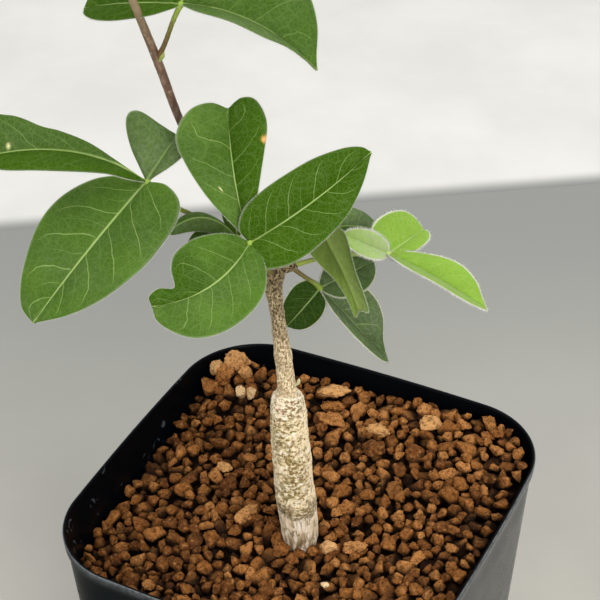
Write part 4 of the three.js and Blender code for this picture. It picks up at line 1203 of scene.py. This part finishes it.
class Gatherer:
    """Collects meshes and their values into one."""

    def __init__(self):
        self.points, self.faces, self.values, self.sides, self.count = [], [], {}, [], 0

    def add(self, points, faces, values=None, sides=None):
        points = np.asarray(points).reshape(-1, 3)
        self.points.append(points)
        self.faces += [[self.count + i for i in face] for face in np.asarray(faces, object).tolist()]
        self.sides += list(np.zeros(len(faces), int) if sides is None else sides)
        for label, data in (values or {}).items():
            self.values.setdefault(label, []).append(np.ravel(data))
        self.count += len(points)

    def piece(self, name, materials, slot, replaced=()):
        values = {label: np.concatenate(data) for label, data in self.values.items()}
        points = from_plant(np.concatenate(self.points))
        new_piece(name, points, self.faces, materials, slot, replaced, values, self.sides)


def build_leaf(name, leaf, number, materials):
    """A leaf's blades, its stalk with a knob at the joint, and the hairs of its edges."""
    kind, stalk, *leaflets = leaf
    slot = kind + "_leaf"
    kind = LOOKS.get(name, kind)
    joint = stalk[-1]
    random = np.random.default_rng(100 + number)
    blades, hairs, stem = Gatherer(), Gatherer(), Gatherer()
    for index, leaflet in enumerate(leaflets):
        grid, values = blade_grid(joint, leaflet, 7.3 * number + 2.1 * index)
        add_tones(name, index, grid, values, number)
        blades.add(*blade_mesh(grid, values))
        hairs.add(*hair_mesh(grid, random, *HAIRS[kind]))
    rings = tube(stalk, STALK_RADII, STALK_SIDES, STALK_STEPS, 0.04, number)
    along = np.repeat(np.linspace(0, 1, len(rings)), STALK_SIDES)
    stem.add(rings, capped_faces(*rings.shape[:2]), {"along": along})
    knob, triangles = ball(3)
    knob = knob * KNOB_RADIUS * (1 + 0.12 * lumps(knob, 0.7, number)[:, None]) + joint
    stem.add(knob, triangles, {"along": np.ones(len(knob))})
    blades.piece(name + "_blades", [materials[kind + "_top"], materials[kind + "_under"]], slot, (name,))
    stem.piece(name + "_stalk", [materials[kind + "_stalk"]], slot)
    hairs.piece(name + "_hairs", [materials["hair"]], slot)


# Stage, light and camera

def build_stage():
    """A pale floor, darker towards the back with painted shade, with a white board lying on it far behind.
    """
    sheets = (
        ("floor", -SHEET_SIZE, 0.0, FLOOR_COLOUR, 0.0, 0.0, 0.0),
        ("board", 0.0, BOARD_LIFT, BOARD_COLOUR, BOARD_BLUR, BOARD_BACK, BOARD_TURN),
    )
    for name, front, height, colour, blur, back, turn in sheets:
        corners = ((-1, front), (1, front), (1, SHEET_SIZE), (-1, SHEET_SIZE))
        points = [(side * SHEET_SIZE, y, height) for side, y in corners]
        material = stage_material(name, colour, blur)
        sheet = new_object(name, new_mesh(name, np.array(points) * MM, [range(4)], [material]))
        sheet.location = from_plant((0, back, 0))
        sheet.rotation_euler.z = PLANT_TURN + turn


def build_light():
    """Three softboxes, and a sky that is brighter overhead."""
    world = bpy.data.worlds.new("studio")
    bpy.context.scene.world = world
    world.use_nodes = True
    tree = world.node_tree
    background = tree.nodes["Background"]
    background.inputs["Color"].default_value = (*SKY_COLOUR, 1)
    split = tree.nodes.new("ShaderNodeSeparateXYZ")
    level = tree.nodes.new("ShaderNodeMapRange")
    tree.links.new(tree.nodes.new("ShaderNodeTexCoord").outputs["Generated"], split.inputs[0])
    tree.links.new(split.outputs["Z"], level.inputs["Value"])
    tree.links.new(level.outputs["Result"], background.inputs["Strength"])
    for socket, value in zip(("To Min", "To Max"), SKY_STRENGTHS):
        level.inputs[socket].default_value = value
    for name, (place, aim, size, power, colour) in SOFTBOXES.items():
        light = bpy.data.lights.new(name, "AREA")
        light.shape, light.size, light.energy, light.color = "DISK", size, power, colour
        lamp = new_object(name, light)
        lamp.location = Vector(from_plant(place))
        away = lamp.location - Vector(from_plant((0, 0, aim)))
        lamp.rotation_euler = away.to_track_quat("Z", "Y").to_euler()


def build_camera():
    """Looks down at the plant's best side."""
    back = turned((0, -math.cos(CAMERA_LIFT), math.sin(CAMERA_LIFT)), PLANT_TURN)
    level = turned((1, 0, 0), PLANT_TURN)
    right = math.cos(CAMERA_ROLL) * level + math.sin(CAMERA_ROLL) * np.cross(back, level)
    up = np.cross(back, right)
    data = bpy.data.cameras.new("camera")
    data.lens, data.sensor_width = LENS, 36.0
    data.clip_start, data.clip_end = 0.02, 20.0
    camera = new_object("camera", data)
    place = (np.array([0, 0, CAMERA_AIM]) + back * CAMERA_DISTANCE) * MM
    camera.matrix_world = Matrix.Translation(Vector(place)) @ Matrix(np.stack([right, up, back], 1)).to_4x4()
    bpy.context.scene.camera = camera


def build_all():
    materials = {name: blade_material(name, *look) for name, look in BLADE_LOOKS.items()}
    materials |= {name: stalk_material(name, *look) for name, look in STALK_LOOKS.items()}
    materials["hair"] = plain_material("leaf_hair", (0.85, 0.87, 0.8), 0.6)
    outside = pot_material("pot_outside", (0.007, 0.0095, 0.0105), (0.012, 0.016, 0.018), 0.2, 0.07, 0.22)
    # The inside: the same plastic painted darker, with painted shade within the pot
    inside = pot_material("pot_inside_shaded", (0.001, 0.0017, 0.0027), (0.005, 0.007, 0.009), 0.28, 0.06, 0.0)
    build_pot(outside, inside)
    build_soil(grain_material())
    build_caudex(bark_material(), plain_material("bud", (0.62, 0.64, 0.38)))
    build_twig(twig_material(), plain_material("green_bud", (0.32, 0.40, 0.10)))
    for number, (name, leaf) in enumerate(LEAVES.items()):
        build_leaf(name, leaf, number, materials)
    build_stage()
    build_light()
    build_camera()
    bpy.context.scene.view_settings.view_transform = "Standard"


build_all()
